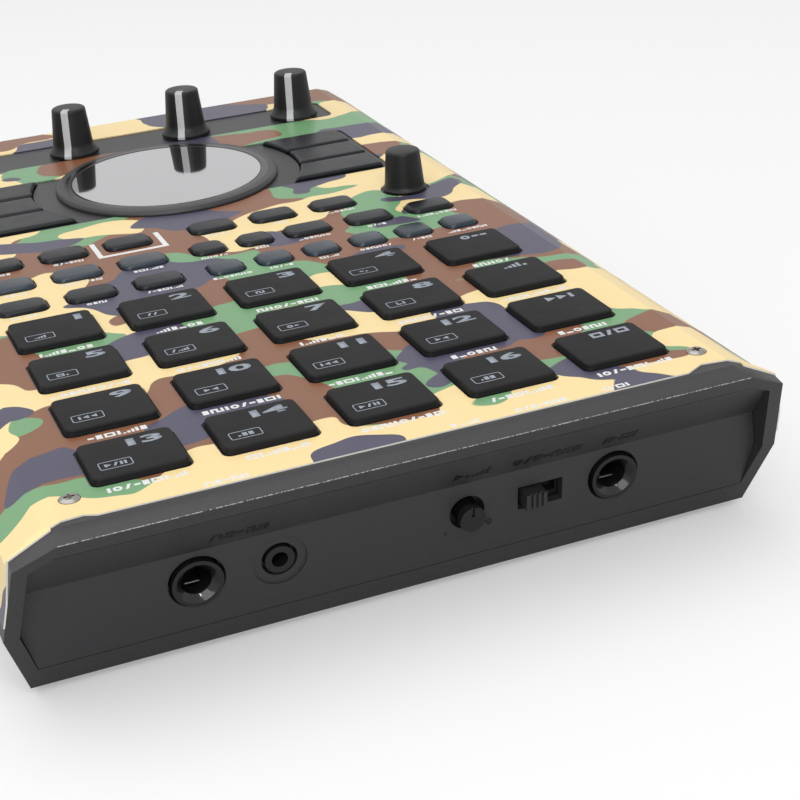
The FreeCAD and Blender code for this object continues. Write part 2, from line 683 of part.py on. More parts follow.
def case_screw_holes(radius):
    """Holes for the shanks of the case screws."""
    top = CASE_BOTTOM + HEAD_RECESS_DEPTH + CASE_SCREW_LENGTH + 1
    return [cylinder(radius, x, y, CASE_BOTTOM - 1, top) for x, y in case_screw_places()]


def foot_places():
    """The four rubber feet."""
    x = BASE_WIDTH / 2 - FOOT_SIDE_INSET
    return [(side * x, y) for side in (-1, 1)
            for y in (FRONT_EDGE_Y + FOOT_FRONT_INSET, REAR_FACE_Y - FOOT_REAR_INSET)]


def main_posts():
    """Posts in the lower half that carry the main board, clear of the sockets."""
    x = MAIN_BOARD_HALF_WIDTH - MAIN_POST_INSET
    front = MAIN_BOARD_FRONT_Y + MAIN_POST_INSET
    rear = REAR_FACE_Y - CASE_SCREW_REAR_INSET
    return [(side * x, y) for side in (-1, 1) for y in (front, (front + rear) / 2, rear)]


def bottom_case():
    """Lower half of the case, with the battery compartment in it."""
    half = case_block().cut(half_space(V(0, 0, SEAM_Z), UP))
    half = half.cut(cavity()).cut(front_opening(0)).cut(rear_opening(0))
    width = BAY_HALF_WIDTH + BAY_WALL
    length = BAY_HALF_LENGTH + BAY_WALL
    bay = box(-length, length, BAY_Y - width, BAY_Y + width, CASE_BOTTOM, BAY_ROOF_Z + BAY_WALL)
    ledge = cover_outline(-LEDGE_WALL, CASE_BOTTOM, COVER_TOP_Z + FIT_GAP + LEDGE_WALL)
    floor = CASE_BOTTOM + BOTTOM_WALL / 2
    posts = [cylinder(MAIN_POST_RADIUS, x, y, floor, MAIN_BOARD_Z) for x, y in main_posts()]
    sleeves = [cylinder(CASE_BOSS_RADIUS + SLEEVE_WALL, x, y, floor, SEAM_Z).common(case_block())
               for x, y in case_screw_places()]
    seats = [cylinder(FOOT_RADIUS + FOOT_SEAT_WALL, x, y, floor, CASE_BOTTOM + BOTTOM_WALL + FOOT_SEAT_DEPTH)
             for x, y in foot_places()]
    half = joined([half, bay, ledge] + posts + sleeves + seats)
    cutters = [
        box(-BAY_HALF_LENGTH, BAY_HALF_LENGTH, BAY_Y - BAY_HALF_WIDTH, BAY_Y + BAY_HALF_WIDTH,
            CASE_BOTTOM - 1, BAY_ROOF_Z),
        cover_outline(0, CASE_BOTTOM - 1, COVER_TOP_Z + FIT_GAP),
    ]
    for x, y in foot_places():
        cutters.append(cylinder(FOOT_RADIUS, x, y, CASE_BOTTOM - 1, CASE_BOTTOM + FOOT_SEAT_DEPTH))
    for x, y in case_screw_places():
        cutters.append(cylinder(SCREW_HEAD_RADIUS + SOCKET_CLEARANCE, x, y, CASE_BOTTOM - 1,
                                CASE_BOTTOM + HEAD_RECESS_DEPTH))
    for x, y in main_posts():
        cutters.append(cylinder(SCREW_HOLE_RADIUS, x, y, MAIN_BOARD_TOP_Z - MAIN_SCREW_LENGTH - 1,
                                MAIN_BOARD_Z + 1))
    cutters += case_screw_holes(SCREW_HOLE_RADIUS)
    return without(half, cutters)


def cover_outline(gap, low, high):
    """The battery cover's plate, which sits on a ledge round the compartment."""
    length = 2 * (BAY_HALF_LENGTH + COVER_LEDGE - gap)
    width = 2 * (BAY_HALF_WIDTH + COVER_LEDGE - gap)
    return rounded_block(0, BAY_Y, length, width, COVER_CORNER - gap, low, high)


def battery_cover():
    """Cover of the battery compartment, flush with the bottom, with grip grooves."""
    plate = cover_outline(COVER_CLEARANCE, CASE_BOTTOM, COVER_TOP_Z)
    rear = BAY_Y + BAY_HALF_WIDTH - GRIP_INSET
    grooves = []
    for i in range(GRIP_GROOVES):
        y = rear - GRIP_PITCH * i
        grooves.append(box(-GRIP_LENGTH / 2, GRIP_LENGTH / 2, y - GRIP_WIDTH, y,
                           CASE_BOTTOM - 1, CASE_BOTTOM + GRIP_DEPTH))
    return without(plate, grooves)


def cell_rows():
    """Place across the compartment and direction of each row of cells."""
    middle = (CELL_ROWS - 1) / 2
    return [(BAY_Y + (i - middle) * CELL_ROW_PITCH, 1 if i % 2 == 0 else -1) for i in range(CELL_ROWS)]


def batteries():
    """Six AA cells, two in each row, end to end, their nubs against the flat contacts."""
    cells = []
    nub_end = BAY_HALF_LENGTH - CONTACT_THICKNESS - CONTACT_BUMP - FIT_GAP
    for y, direction in cell_rows():
        axis = V(direction, 0, 0)
        for i in range(CELLS_IN_ROW):
            start = V(direction * (nub_end - (i + 1) * CELL_WHOLE), y, CELL_AXIS_Z)
            can = Part.makeCylinder(CELL_RADIUS, CELL_LENGTH, start, axis)
            nub = Part.makeCylinder(CELL_NUB_RADIUS, CELL_NUB_LENGTH, start + axis * CELL_LENGTH, axis)
            cells.append(joined([can, nub]))
    return Part.makeCompound(cells)


def battery_contacts():
    """A plate at each end of each row, with a coil spring where the row begins."""
    pieces = []
    half = CONTACT_HALF_WIDTH
    for y, direction in cell_rows():
        for end in (-1, 1):
            wall = end * BAY_HALF_LENGTH
            inner = wall - end * CONTACT_THICKNESS
            plate = box(min(wall, inner), max(wall, inner), y - half, y + half,
                        CELL_AXIS_Z - half, CELL_AXIS_Z + half)
            if end == direction:
                start = V(inner, y, CELL_AXIS_Z)
                bump = Part.makeCylinder(CELL_NUB_RADIUS, CONTACT_BUMP, start, V(-end, 0, 0))
                plate = joined([plate, bump])
            else:
                pieces.append(contact_spring(inner, y, direction))
            pieces.append(plate)
    return Part.makeCompound(pieces)


def contact_spring(x, y, direction):
    """A small coil spring between a contact plate and the first cell."""
    height = SPRING_ROOM - 2 * SPRING_WIRE_RADIUS - 2 * FIT_GAP
    helix = Part.makeHelix(height / SPRING_TURNS, height, SPRING_RADIUS)
    ring = Part.Wire(Part.makeCircle(SPRING_WIRE_RADIUS, V(SPRING_RADIUS, 0, 0), V(0, 1, 0)))
    coil = Part.Wire(helix.Edges).makePipeShell([ring], True, True)
    coil.translate(V(0, 0, SPRING_WIRE_RADIUS + FIT_GAP))
    turn = FreeCAD.Rotation(UP, V(direction, 0, 0))
    coil.Placement = FreeCAD.Placement(V(x, y, CELL_AXIS_Z), turn).multiply(coil.Placement)
    return coil


def pad(x, y):
    """One rubber pad with the flange that keeps it under the panel."""
    cap = rounded_block(x, y, PAD_WIDTH, PAD_DEPTH, PAD_CORNER, FLANGE_TOP, PAD_RISE, PAD_EDGE)
    flange = rounded_block(x, y, PAD_WIDTH + 2 * PAD_FLANGE, PAD_DEPTH + 2 * PAD_FLANGE,
                           PAD_CORNER + PAD_FLANGE, FLANGE_TOP - PAD_FLANGE_THICKNESS, FLANGE_TOP)
    return on_panel(joined([cap, flange]))


def small_key(x, y, width):
    """One small key with its flange."""
    cap = rounded_block(x, y, width, KEY_DEPTH, KEY_CORNER, FLANGE_TOP, KEY_RISE, KEY_EDGE)
    flange = rounded_block(x, y, width + 2 * KEY_FLANGE, KEY_DEPTH + 2 * KEY_FLANGE,
                           KEY_CORNER + KEY_FLANGE, FLANGE_TOP - KEY_FLANGE_THICKNESS, FLANGE_TOP)
    return on_panel(joined([cap, flange]))


def effect_key(index, side):
    """One of three bars beside the display, its inner end curved round it."""
    y = EFFECT_FIRST_Y + index * EFFECT_KEY_PITCH
    inner = EFFECT_ARC_RADIUS / 2

    def bar(grow, low, high, edge):
        outer = EFFECT_OUTER_X + grow
        block = rounded_block((inner + outer) / 2, y, outer - inner, EFFECT_KEY_DEPTH, EFFECT_CORNER,
                              low, high, edge)
        return block.cut(cylinder(EFFECT_ARC_RADIUS - grow, 0, DISPLAY_Y, low - 1, high + 1))

    cap = bar(0, FLANGE_TOP, EFFECT_RISE, EFFECT_EDGE)
    flange = bar(EFFECT_FLANGE, FLANGE_TOP - KEY_FLANGE_THICKNESS, FLANGE_TOP, 0)
    key = joined([cap, flange])
    if side < 0:
        key = key.mirror(V(0, 0, 0), V(1, 0, 0))
    key.translate(V(DISPLAY_X, 0, 0))
    return on_panel(key)


def display_bezel():
    """Raised ring that holds the round lens, its collar down through the panel."""
    lens_low = DISPLAY_RISE - FIT_GAP - LENS_THICKNESS
    seat = LENS_RADIUS + FIT_GAP
    profile = [
        (COLLAR_RADIUS, -TOP_WALL), (COLLAR_RADIUS, 0), (DISPLAY_RADIUS, 0),
        (DISPLAY_RADIUS, DISPLAY_STEP_RISE), (DISPLAY_RADIUS - DISPLAY_BEVEL, DISPLAY_RISE - FIT_GAP),
        (seat + DISPLAY_LAND, DISPLAY_RISE), (seat, DISPLAY_RISE - FIT_GAP),
        (seat, lens_low), (seat - LENS_LEDGE, lens_low), (seat - LENS_LEDGE, -TOP_WALL),
    ]
    return on_panel(turned(profile, DISPLAY_X, DISPLAY_Y))


def display_lens():
    """Round window over the display."""
    high = DISPLAY_RISE - FIT_GAP
    return on_panel(cylinder(LENS_RADIUS, DISPLAY_X, DISPLAY_Y, high - LENS_THICKNESS, high))


def display_module():
    """The display itself, on the control board under the lens."""
    half = DISPLAY_MODULE_SIZE / 2
    top = DISPLAY_RISE - LENS_THICKNESS - 2 * FIT_GAP
    return on_panel(box(DISPLAY_X - half, DISPLAY_X + half, DISPLAY_Y - half, DISPLAY_Y + half,
                        CONTROL_BOARD_TOP, top))


def control_board():
    """Board under the panel that carries the pad sensors, key switches and pots."""
    key_reach = WIDE_KEY / 2 + KEY_FLANGE - LEFT_KEYS_X
    pad_reach = PAD_FIELD_WIDTH / 2 + PAD_FLANGE
    half = max(key_reach, pad_reach) + CONTROL_BOARD_MARGIN
    front = PAD_FIRST_Y - PAD_DEPTH / 2 - PAD_FLANGE - CONTROL_BOARD_MARGIN
    rear = KNOB_ROW_Y + POT_DEPTH / 2 + MAIN_POST_RADIUS
    board = box(-half, half, front, rear, CONTROL_BOARD_BOTTOM, CONTROL_BOARD_TOP)
    low, high = CONTROL_BOARD_BOTTOM - 1, CONTROL_BOARD_TOP + 1
    cutters = [cylinder(SHAFT_HOLE_RADIUS, x, y, low, high) for x, y in knob_places() + [(VALUE_X, VALUE_Y)]]
    cutters += [cylinder(SCREW_HOLE_RADIUS, x, y, low, high) for x, y in board_posts()]
    sensors = [rounded_block(x, y, PAD_WIDTH - 2 * SENSOR_MARGIN, PAD_DEPTH - 2 * SENSOR_MARGIN, PAD_CORNER,
                             CONTROL_BOARD_TOP, CONTROL_BOARD_TOP + SENSOR_THICKNESS)
               for _, _, x, y in pad_places()]
    effect_x = (EFFECT_ARC_RADIUS + EFFECT_OUTER_X) / 2
    pressed = [(x, y) for keys in key_rows().values() for x, y, _ in keys]
    pressed += [(DISPLAY_X + side * effect_x, EFFECT_FIRST_Y + i * EFFECT_KEY_PITCH)
                for side in (-1, 1) for i in range(EFFECT_ROWS)]
    switches = [cylinder(KEY_SWITCH_RADIUS, x, y, CONTROL_BOARD_TOP, KEY_SWITCH_TOP) for x, y in pressed]
    return on_panel(joined([without(board, cutters)] + sensors + switches))


def main_board():
    """Main board on posts in the lower half, with its larger chips."""
    half = MAIN_BOARD_HALF_WIDTH
    board = box(-half, half, MAIN_BOARD_FRONT_Y, MAIN_BOARD_REAR_Y, MAIN_BOARD_Z, MAIN_BOARD_TOP_Z)
    holes = [cylinder(SCREW_HOLE_RADIUS, x, y, MAIN_BOARD_Z - 1, MAIN_BOARD_TOP_Z + 1)
             for x, y in main_posts()]
    chips = []
    for x, y, size in CHIPS:
        chips.append(box(x - size / 2, x + size / 2, y - size / 2, y + size / 2,
                         MAIN_BOARD_TOP_Z, MAIN_BOARD_TOP_Z + CHIP_HEIGHT))
    return joined([without(board, holes)] + chips)


def front_jack_board():
    """Narrow board under the front sockets, held by their noses in the jack panel."""
    low = -JACK_BODY_HEIGHT / 2 - BOARD_THICKNESS
    left = PHONES_X - JACK_BODY_WIDTH / 2
    right = INPUT_X + JACK_BODY_WIDTH / 2
    front = JACK_PANEL_WALL + FIT_GAP
    return on_front(box(left, right, front + 1, front + JACK_BODY_DEPTH, low, low + BOARD_THICKNESS), 0)


def panel_skin():
    """Printed adhesive sheet over the top, the shoulders and the upper sides."""
    grown = -SKIN_THICKNESS
    sheet = case_block({"top": grown, "shoulders": grown, "facets": grown, "front_corners": grown,
                        "upper_sides": grown})
    sheet = sheet.cut(case_block())
    front = PANEL_PLACE.multVec(V(0, SKIN_FRONT_MARGIN, 0))
    rear = PANEL_PLACE.multVec(V(0, PANEL_DEPTH - SKIN_REAR_MARGIN, 0))
    sheet = sheet.cut(half_space(front, PANEL_BACKWARD * -1))
    sheet = sheet.cut(half_space(rear, PANEL_BACKWARD))
    sheet = sheet.cut(half_space(V(0, 0, SEAM_Z + SKIN_SIDE_LOW), V(0, 0, -1)))
    low, high = -TOP_WALL, TOP_WALL
    strip_front, strip_rear = KNOB_ROW_Y - STRIP_FRONT_MARGIN, KNOB_ROW_Y + STRIP_REAR_MARGIN
    strip_width = (KNOB_COUNT - 1) * KNOB_PITCH + 2 * STRIP_SIDE_MARGIN
    wing_front = EFFECT_FIRST_Y - EFFECT_KEY_DEPTH / 2 - WING_MARGIN
    wing_rear = EFFECT_LAST_Y + EFFECT_KEY_DEPTH / 2 + WING_MARGIN
    cutters = control_openings(SKIN_MARGIN)
    cutters.append(rounded_block(DISPLAY_X, (strip_front + strip_rear) / 2, strip_width,
                                 strip_rear - strip_front, SKIN_CORNER, low, high))
    cutters.append(rounded_block(DISPLAY_X, (wing_front + wing_rear) / 2, 2 * (EFFECT_OUTER_X + WING_MARGIN),
                                 wing_rear - wing_front, SKIN_CORNER, low, high))
    cutters.append(cylinder(DISPLAY_RADIUS + SKIN_MARGIN, DISPLAY_X, DISPLAY_Y, low, high))
    cutters.append(cylinder(VALUE_BASE_RADIUS + SKIN_MARGIN, VALUE_X, VALUE_Y, low, high))
    for side, reach, depth in SKIN_NOTCHES:
        cutters.append(cylinder(SCREW_HEAD_RADIUS + FIT_GAP, side * TOP_SCREW_X, TOP_SCREW_Y, low, high))
        inner, middle = side * (PANEL_WIDTH / 2 - reach), side * (PANEL_WIDTH / 2 - reach / 2)
        outer = side * (PANEL_WIDTH / 2 + reach / 4)
        notch = [V(inner, 0, low), V(middle, SKIN_FRONT_MARGIN + depth, low),
                 V(outer, SKIN_FRONT_MARGIN + depth / 2, low), V(outer, -1, low), V(inner, -1, low)]
        cutters.append(prism(notch, high - low))
    return without(sheet, [on_panel(cutter) for cutter in cutters])


# Knobs and the shafts in them
def knob(x, y, profile, shaft_low):
    """A turned knob and its shaft, which runs down into the pot."""
    bore = [(0, profile[-1][1]), (0, SHAFT_DEPTH_IN_KNOB), (SHAFT_RADIUS, SHAFT_DEPTH_IN_KNOB)]
    cap = turned([(SHAFT_RADIUS, profile[0][1])] + profile + bore, x, y)
    shaft = cylinder(SHAFT_RADIUS, x, y, shaft_low, SHAFT_DEPTH_IN_KNOB)
    return on_panel(Part.makeCompound([cap, shaft]))


def knob_profile(base, waist, top, rim, flare, skirt_height, height):
    """Half section of a knob with a flared skirt and a bevelled top edge."""
    return [(base, KNOB_GAP), (base, KNOB_GAP + rim), ((base + waist) / 2, KNOB_GAP + flare),
            (waist, KNOB_GAP + skirt_height), (top, height - KNOB_ROUND), (top - KNOB_ROUND, height)]


def panel_knob(x, y):
    """One of the four tall knobs."""
    profile = knob_profile(KNOB_SKIRT_RADIUS, KNOB_WAIST_RADIUS, KNOB_TOP_RADIUS, KNOB_RIM, KNOB_FLARE,
                           KNOB_SKIRT_HEIGHT, KNOB_HEIGHT)
    return knob(x, y, profile, CONTROL_BOARD_BOTTOM - SHAFT_DEPTH_IN_POT)


def value_knob():
    """The shorter knob, which turns without end and can be pressed."""
    profile = knob_profile(VALUE_BASE_RADIUS, VALUE_WAIST_RADIUS, VALUE_TOP_RADIUS, VALUE_RIM, VALUE_FLARE,
                           VALUE_SKIRT_HEIGHT, VALUE_KNOB_HEIGHT)
    return knob(VALUE_X, VALUE_Y, profile, CONTROL_BOARD_BOTTOM - SHAFT_DEPTH_IN_ENCODER)


def value_plunger():
    """The disc under the value knob's shaft that presses the switch in its encoder."""
    top = CONTROL_BOARD_BOTTOM - SHAFT_DEPTH_IN_ENCODER - FIT_GAP
    return on_panel(cylinder(SHAFT_RADIUS, VALUE_X, VALUE_Y, top - PLUNGER_THICKNESS, top))


def front_band_y(height):
    """Where the jack band's outside lies at a height above the case bottom."""
    low_y = FRONT_BASE_Y - FRONT_SLOPE * FRONT_OPENING_LOW
    return low_y - math.tan(math.radians(JACK_BAND_LEAN)) * (height - FRONT_OPENING_LOW)


def on_front(shape, x):
    """A shape drawn with its outward end towards -Y, moved onto the jack band."""
    placed = shape.copy()
    place = FreeCAD.Placement(V(x, front_band_y(JACK_HEIGHT), CASE_BOTTOM + JACK_HEIGHT),
                              FreeCAD.Rotation(V(1, 0, 0), JACK_BAND_LEAN))
    placed.Placement = place.multiply(placed.Placement)
    return placed


def on_rear(shape, x, z):
    """The same, turned round and moved to the outside of the rear panel."""
    placed = shape.copy()
    place = FreeCAD.Placement(V(x, REAR_OUTSIDE_Y, z), FreeCAD.Rotation(UP, 180))
    placed.Placement = place.multiply(placed.Placement)
    return placed


def line_jacks():
    """Places of the quarter inch sockets on the back."""
    return [LINE_JACKS_X + i * LINE_JACKS_PITCH for i in range(LINE_JACKS)]


def data_jacks():
    """Places of the small data sockets on the back."""
    return [DATA_JACKS_X + i * DATA_JACKS_PITCH for i in range(DATA_JACKS)]


def on_board(height):
    """Height of the axis of a socket of this height that stands on the main board."""
    return MAIN_BOARD_TOP_Z + height / 2


def jack_panel_profile():
    """Corner points of the jack panel's outside and inside, in the YZ plane."""
    low, crease, high = FRONT_OPENING_LOW + FIT_GAP, JACK_BAND_TOP, LIP_Z - CASE_BOTTOM - FRONT_LIP - FIT_GAP
    lip_y = FRONT_BASE_Y - FRONT_SLOPE * high
    lean = math.radians(JACK_BAND_LEAN)
    band = math.atan2(front_band_y(crease) - lip_y, high - crease)
    outside = [(front_band_y(low), low), (front_band_y(crease), crease), (lip_y, high)]
    wall = JACK_PANEL_WALL
    middle = (lean + band) / 2
    reach = wall / math.cos((band - lean) / 2)
    inside = [(lip_y + wall / math.cos(band), high),
              (front_band_y(crease) + reach * math.cos(middle), crease + reach * math.sin(middle)),
              (front_band_y(low) + wall / math.cos(lean), low)]
    return [V(-CASE_WIDTH, y, CASE_BOTTOM + z) for y, z in outside + inside]


def switch_slot(reach):
    """Cutter for the slot that a slide switch's slider runs in."""
    return box(-SWITCH_SLOT_WIDTH / 2, SWITCH_SLOT_WIDTH / 2, -reach, reach,
               -SWITCH_SLOT_HEIGHT / 2, SWITCH_SLOT_HEIGHT / 2)


def front_panel():
    """Jack panel that closes the front of the case."""
    profile = jack_panel_profile()
    before = FRONT_EDGE_Y - FRAME_DEPTH
    outside = profile[:3] + [V(-CASE_WIDTH, before, LIP_Z), V(-CASE_WIDTH, before, CASE_BOTTOM)]
    plate = prism(profile, 2 * CASE_WIDTH, V(1, 0, 0)).common(front_opening(FIT_GAP))
    crease = half_space(V(0, 0, CASE_BOTTOM + JACK_BAND_TOP), V(0, 0, -1))
    bosses = []
    for side in (-1, 1):
        boss = cylinder(TOP_BOSS_RADIUS, side * TOP_SCREW_X, TOP_SCREW_Y, -2 * TOP_SCREW_LENGTH,
                        -TOP_WALL - FIT_GAP)
        bosses.append(on_panel(boss).cut(crease))
    plate = joined([plate] + bosses).cut(prism(outside, 2 * CASE_WIDTH, V(1, 0, 0)))
    reach = JACK_PANEL_WALL * 2
    cutters = [
        on_front(bar_along_y(JACK_HOLE_RADIUS, 0, 0, -reach, reach), PHONES_X),
        on_front(bar_along_y(JACK_HOLE_RADIUS, 0, 0, -reach, reach), INPUT_X),
        on_front(bar_along_y(MINI_HOLE_RADIUS, 0, 0, -reach, reach), MINI_PHONES_X),
        on_front(bar_along_y(MINI_DISH_RADIUS, 0, 0, -reach, MINI_DISH_DEPTH), MINI_PHONES_X),
        on_front(bar_along_y(GAIN_CAP_RADIUS + GAIN_CAP_CLEARANCE, 0, 0, -reach, reach), GAIN_X),
        on_front(switch_slot(reach), INPUT_SWITCH_X),
    ]
    for side in (-1, 1):
        cutters.append(on_panel(cylinder(SCREW_HOLE_RADIUS, side * TOP_SCREW_X, TOP_SCREW_Y,
                                         -TOP_SCREW_LENGTH - SOCKET_CLEARANCE, 1)))
    return without(plate, cutters)


def rear_panel():
    """Plate with the sockets' holes that closes the back of the case."""
    slab = box(-CASE_WIDTH, CASE_WIDTH, REAR_OUTSIDE_Y - REAR_PANEL_WALL, REAR_OUTSIDE_Y, 0, PANEL_REAR_Z)
    plate = rear_opening(FIT_GAP).common(slab)
    reach = REAR_PANEL_WALL * 2
    gap = SOCKET_CLEARANCE
    card_hole = box(-CARD_WIDTH / 2 - gap, CARD_WIDTH / 2 + gap, -reach, reach,
                    -CARD_HEIGHT / 2 - gap, CARD_HEIGHT / 2 + gap)
    cutters = [on_rear(bar_along_y(JACK_HOLE_RADIUS, 0, 0, -reach, reach), x, SOCKET_AXIS_Z)
               for x in line_jacks()]
    cutters += [on_rear(bar_along_y(MINI_HOLE_RADIUS, 0, 0, -reach, reach), x, on_board(MINI_BODY_HEIGHT))
                for x in data_jacks()]
    cutters.append(on_rear(bar_along_y(DC_BORE_RADIUS + DC_NOSE_WALL + gap, 0, 0, -reach, reach),
                           DC_X, on_board(DC_BODY_HEIGHT)))
    cutters.append(on_rear(slot_along_y(USB_WIDTH + 2 * gap, USB_HEIGHT + 2 * gap, -reach, reach),
                           USB_X, on_board(USB_HEIGHT)))
    cutters.append(on_rear(card_hole, CARD_X, MAIN_BOARD_Z - CARD_HEIGHT / 2))
    cutters.append(on_rear(switch_slot(reach), POWER_SWITCH_X, SOCKET_AXIS_Z))
    return without(plate, cutters)


def socket_body(wall, width, depth, height, below):
    """A socket's block behind a panel, its underside a given way below the axis."""
    start = wall + FIT_GAP
    return box(-width / 2, width / 2, start, start + depth, -below, height / 2)


def quarter_inch_jack(wall):
    """A socket for a quarter inch plug, its nose through a panel of a given wall."""
    body = socket_body(wall, JACK_BODY_WIDTH, JACK_BODY_DEPTH, JACK_BODY_HEIGHT, JACK_BODY_HEIGHT / 2)
    nose = bar_along_y(JACK_NOSE_RADIUS, 0, 0, -JACK_NOSE_PROUD, wall + 1)
    bore = bar_along_y(JACK_BORE_RADIUS, 0, 0, -JACK_NOSE_PROUD - 1, JACK_BORE_DEPTH)
    mouth = Part.makeCone(JACK_MOUTH_RADIUS, JACK_BORE_RADIUS, JACK_MOUTH_DEPTH,
                          V(0, -JACK_NOSE_PROUD, 0), V(0, 1, 0))
    return joined([body, nose]).cut(bore).cut(mouth)


def quarter_inch_jacks():
    """Phones and input sockets at the front, four line sockets at the back."""
    front = quarter_inch_jack(JACK_PANEL_WALL)
    rear = quarter_inch_jack(REAR_PANEL_WALL)
    jacks = [on_front(front, PHONES_X), on_front(front, INPUT_X)]
    jacks += [on_rear(rear, x, SOCKET_AXIS_Z) for x in line_jacks()]
    return Part.makeCompound(jacks)


def mini_jack(wall, below):
    """A socket for a small plug."""
    body = socket_body(wall, MINI_BODY_WIDTH, MINI_BODY_DEPTH, MINI_BODY_HEIGHT, below)
    nose = bar_along_y(MINI_NOSE_RADIUS, 0, 0, SOCKET_SETBACK, wall + 1)
    bore = bar_along_y(MINI_BORE_RADIUS, 0, 0, -1, MINI_BORE_DEPTH)
    return joined([body, nose]).cut(bore)


def dc_inlet():
    """Power inlet with its centre pin."""
    body = socket_body(REAR_PANEL_WALL, DC_BODY_WIDTH, DC_BODY_DEPTH, DC_BODY_HEIGHT, DC_BODY_HEIGHT / 2)
    nose = bar_along_y(DC_BORE_RADIUS + DC_NOSE_WALL, 0, 0, SOCKET_SETBACK, REAR_PANEL_WALL + 1)
    bore = bar_along_y(DC_BORE_RADIUS, 0, 0, -1, DC_BORE_DEPTH)
    pin = bar_along_y(DC_PIN_RADIUS, 0, 0, REAR_PANEL_WALL, DC_BORE_DEPTH + 1)
    return joined([joined([body, nose]).cut(bore), pin])


def slot_along_y(width, height, y0, y1):
    """A block along Y whose two narrow ends are round."""
    radius = height / 2
    reach = width / 2 - radius
    middle = box(-reach, reach, y0, y1, -radius, radius)
    return joined([middle, bar_along_y(radius, -reach, 0, y0, y1), bar_along_y(radius, reach, 0, y0, y1)])


def data_socket():
    """The flat data socket with its tongue."""
    shell = slot_along_y(USB_WIDTH, USB_HEIGHT, SOCKET_SETBACK, USB_DEPTH)
    shell = shell.cut(slot_along_y(USB_WIDTH - 2 * USB_WALL, USB_HEIGHT - 2 * USB_WALL, -1, USB_DEPTH - 1))
    tongue = box(-USB_TONGUE_WIDTH / 2, USB_TONGUE_WIDTH / 2, USB_TONGUE_SETBACK, USB_DEPTH - USB_WALL,
                 -USB_WALL, USB_WALL)
    return joined([shell, tongue])


def card_slot():
    """The tray that a memory card goes into."""
    half, gap = CARD_WIDTH / 2, CARD_WALL
    tray = box(-half, half, SOCKET_SETBACK, CARD_DEPTH, -CARD_HEIGHT / 2, CARD_HEIGHT / 2)
    return tray.cut(box(gap - half, half - gap, -1, CARD_DEPTH - gap,
                        gap - CARD_HEIGHT / 2, CARD_HEIGHT / 2 - gap))


def small_sockets():
    """Small phones socket at the front; data, power and card sockets at the back."""
    pieces = [on_front(mini_jack(JACK_PANEL_WALL, JACK_BODY_HEIGHT / 2), MINI_PHONES_X)]
    rear_jack = mini_jack(REAR_PANEL_WALL, MINI_BODY_HEIGHT / 2)
    pieces += [on_rear(rear_jack, x, on_board(MINI_BODY_HEIGHT)) for x in data_jacks()]
    pieces.append(on_rear(data_socket(), USB_X, on_board(USB_HEIGHT)))
    pieces.append(on_rear(dc_inlet(), DC_X, on_board(DC_BODY_HEIGHT)))
    pieces.append(on_rear(card_slot(), CARD_X, MAIN_BOARD_Z - CARD_HEIGHT / 2))
    return Part.makeCompound(pieces)


def switch_slider():
    """The ribbed slider of a slide switch, at the left end of its travel."""
    rest, half = -SLIDER_TRAVEL / 2, SLIDER_WIDTH / 2
    back = JACK_PANEL_WALL
    tip = box(rest - half, rest + half, -SLIDER_PROUD, back, -SLIDER_HEIGHT / 2, SLIDER_HEIGHT / 2)
    foot = box(rest - half, rest + half, back, back + SLIDER_FOOT_DEPTH,
               -SLIDER_FOOT_HEIGHT / 2, SLIDER_FOOT_HEIGHT / 2)
    pitch = SLIDER_WIDTH / (SLIDER_RIBS + 1)
    grooves = []
    for i in range(SLIDER_RIBS):
        x = rest - half + (i + 1) * pitch
        grooves.append(box(x - pitch / 4, x + pitch / 4, -SLIDER_PROUD - 1, -SLIDER_PROUD + pitch / 2,
                           -SLIDER_HEIGHT, SLIDER_HEIGHT))
    return without(joined([tip, foot]), grooves)


def switch_body():
    """The body behind the panel that the slider's foot runs in."""
    start = JACK_PANEL_WALL + SWITCH_SETBACK
    reach = (SLIDER_WIDTH + SLIDER_TRAVEL) / 2 + MOVING_GAP
    height = SLIDER_FOOT_HEIGHT / 2 + MOVING_GAP
    body = box(-SWITCH_BODY_WIDTH / 2, SWITCH_BODY_WIDTH / 2, start, start + SWITCH_BODY_DEPTH,
               -JACK_BODY_HEIGHT / 2, SWITCH_BODY_HEIGHT / 2)
    return body.cut(box(-reach, reach, start - 1, JACK_PANEL_WALL + SLIDER_FOOT_DEPTH + MOVING_GAP,
                        -height, height))


def gain_knob():
    """Small knob in the front panel, with a groove that shows where it points."""
    cap = bar_along_y(GAIN_CAP_RADIUS, 0, 0, -GAIN_PROUD, JACK_PANEL_WALL)
    mark = box(-GAIN_MARK_WIDTH / 2, GAIN_MARK_WIDTH / 2, -GAIN_PROUD - 1, -GAIN_PROUD + GAIN_MARK_DEPTH,
               GAIN_MARK_START, GAIN_CAP_RADIUS + 1)
    bore = bar_along_y(GAIN_SHAFT_RADIUS, 0, 0, 0, JACK_PANEL_WALL + 1)
    shaft = bar_along_y(GAIN_SHAFT_RADIUS, 0, 0, 0, GAIN_SHAFT_DEPTH)
    return on_front(Part.makeCompound([cap.cut(mark).cut(bore), shaft]), GAIN_X)


def pot_body(x, y, hole_depth):
    """The square body of a pot or encoder under the control board."""
    body = box(x - POT_WIDTH / 2, x + POT_WIDTH / 2, y - POT_DEPTH / 2, y + POT_DEPTH / 2,
               POT_FLOOR, CONTROL_BOARD_BOTTOM)
    bore = cylinder(SHAFT_RADIUS + SHAFT_CLEARANCE, x, y, CONTROL_BOARD_BOTTOM - hole_depth,
                    CONTROL_BOARD_BOTTOM + 1)
    return on_panel(body.cut(bore))


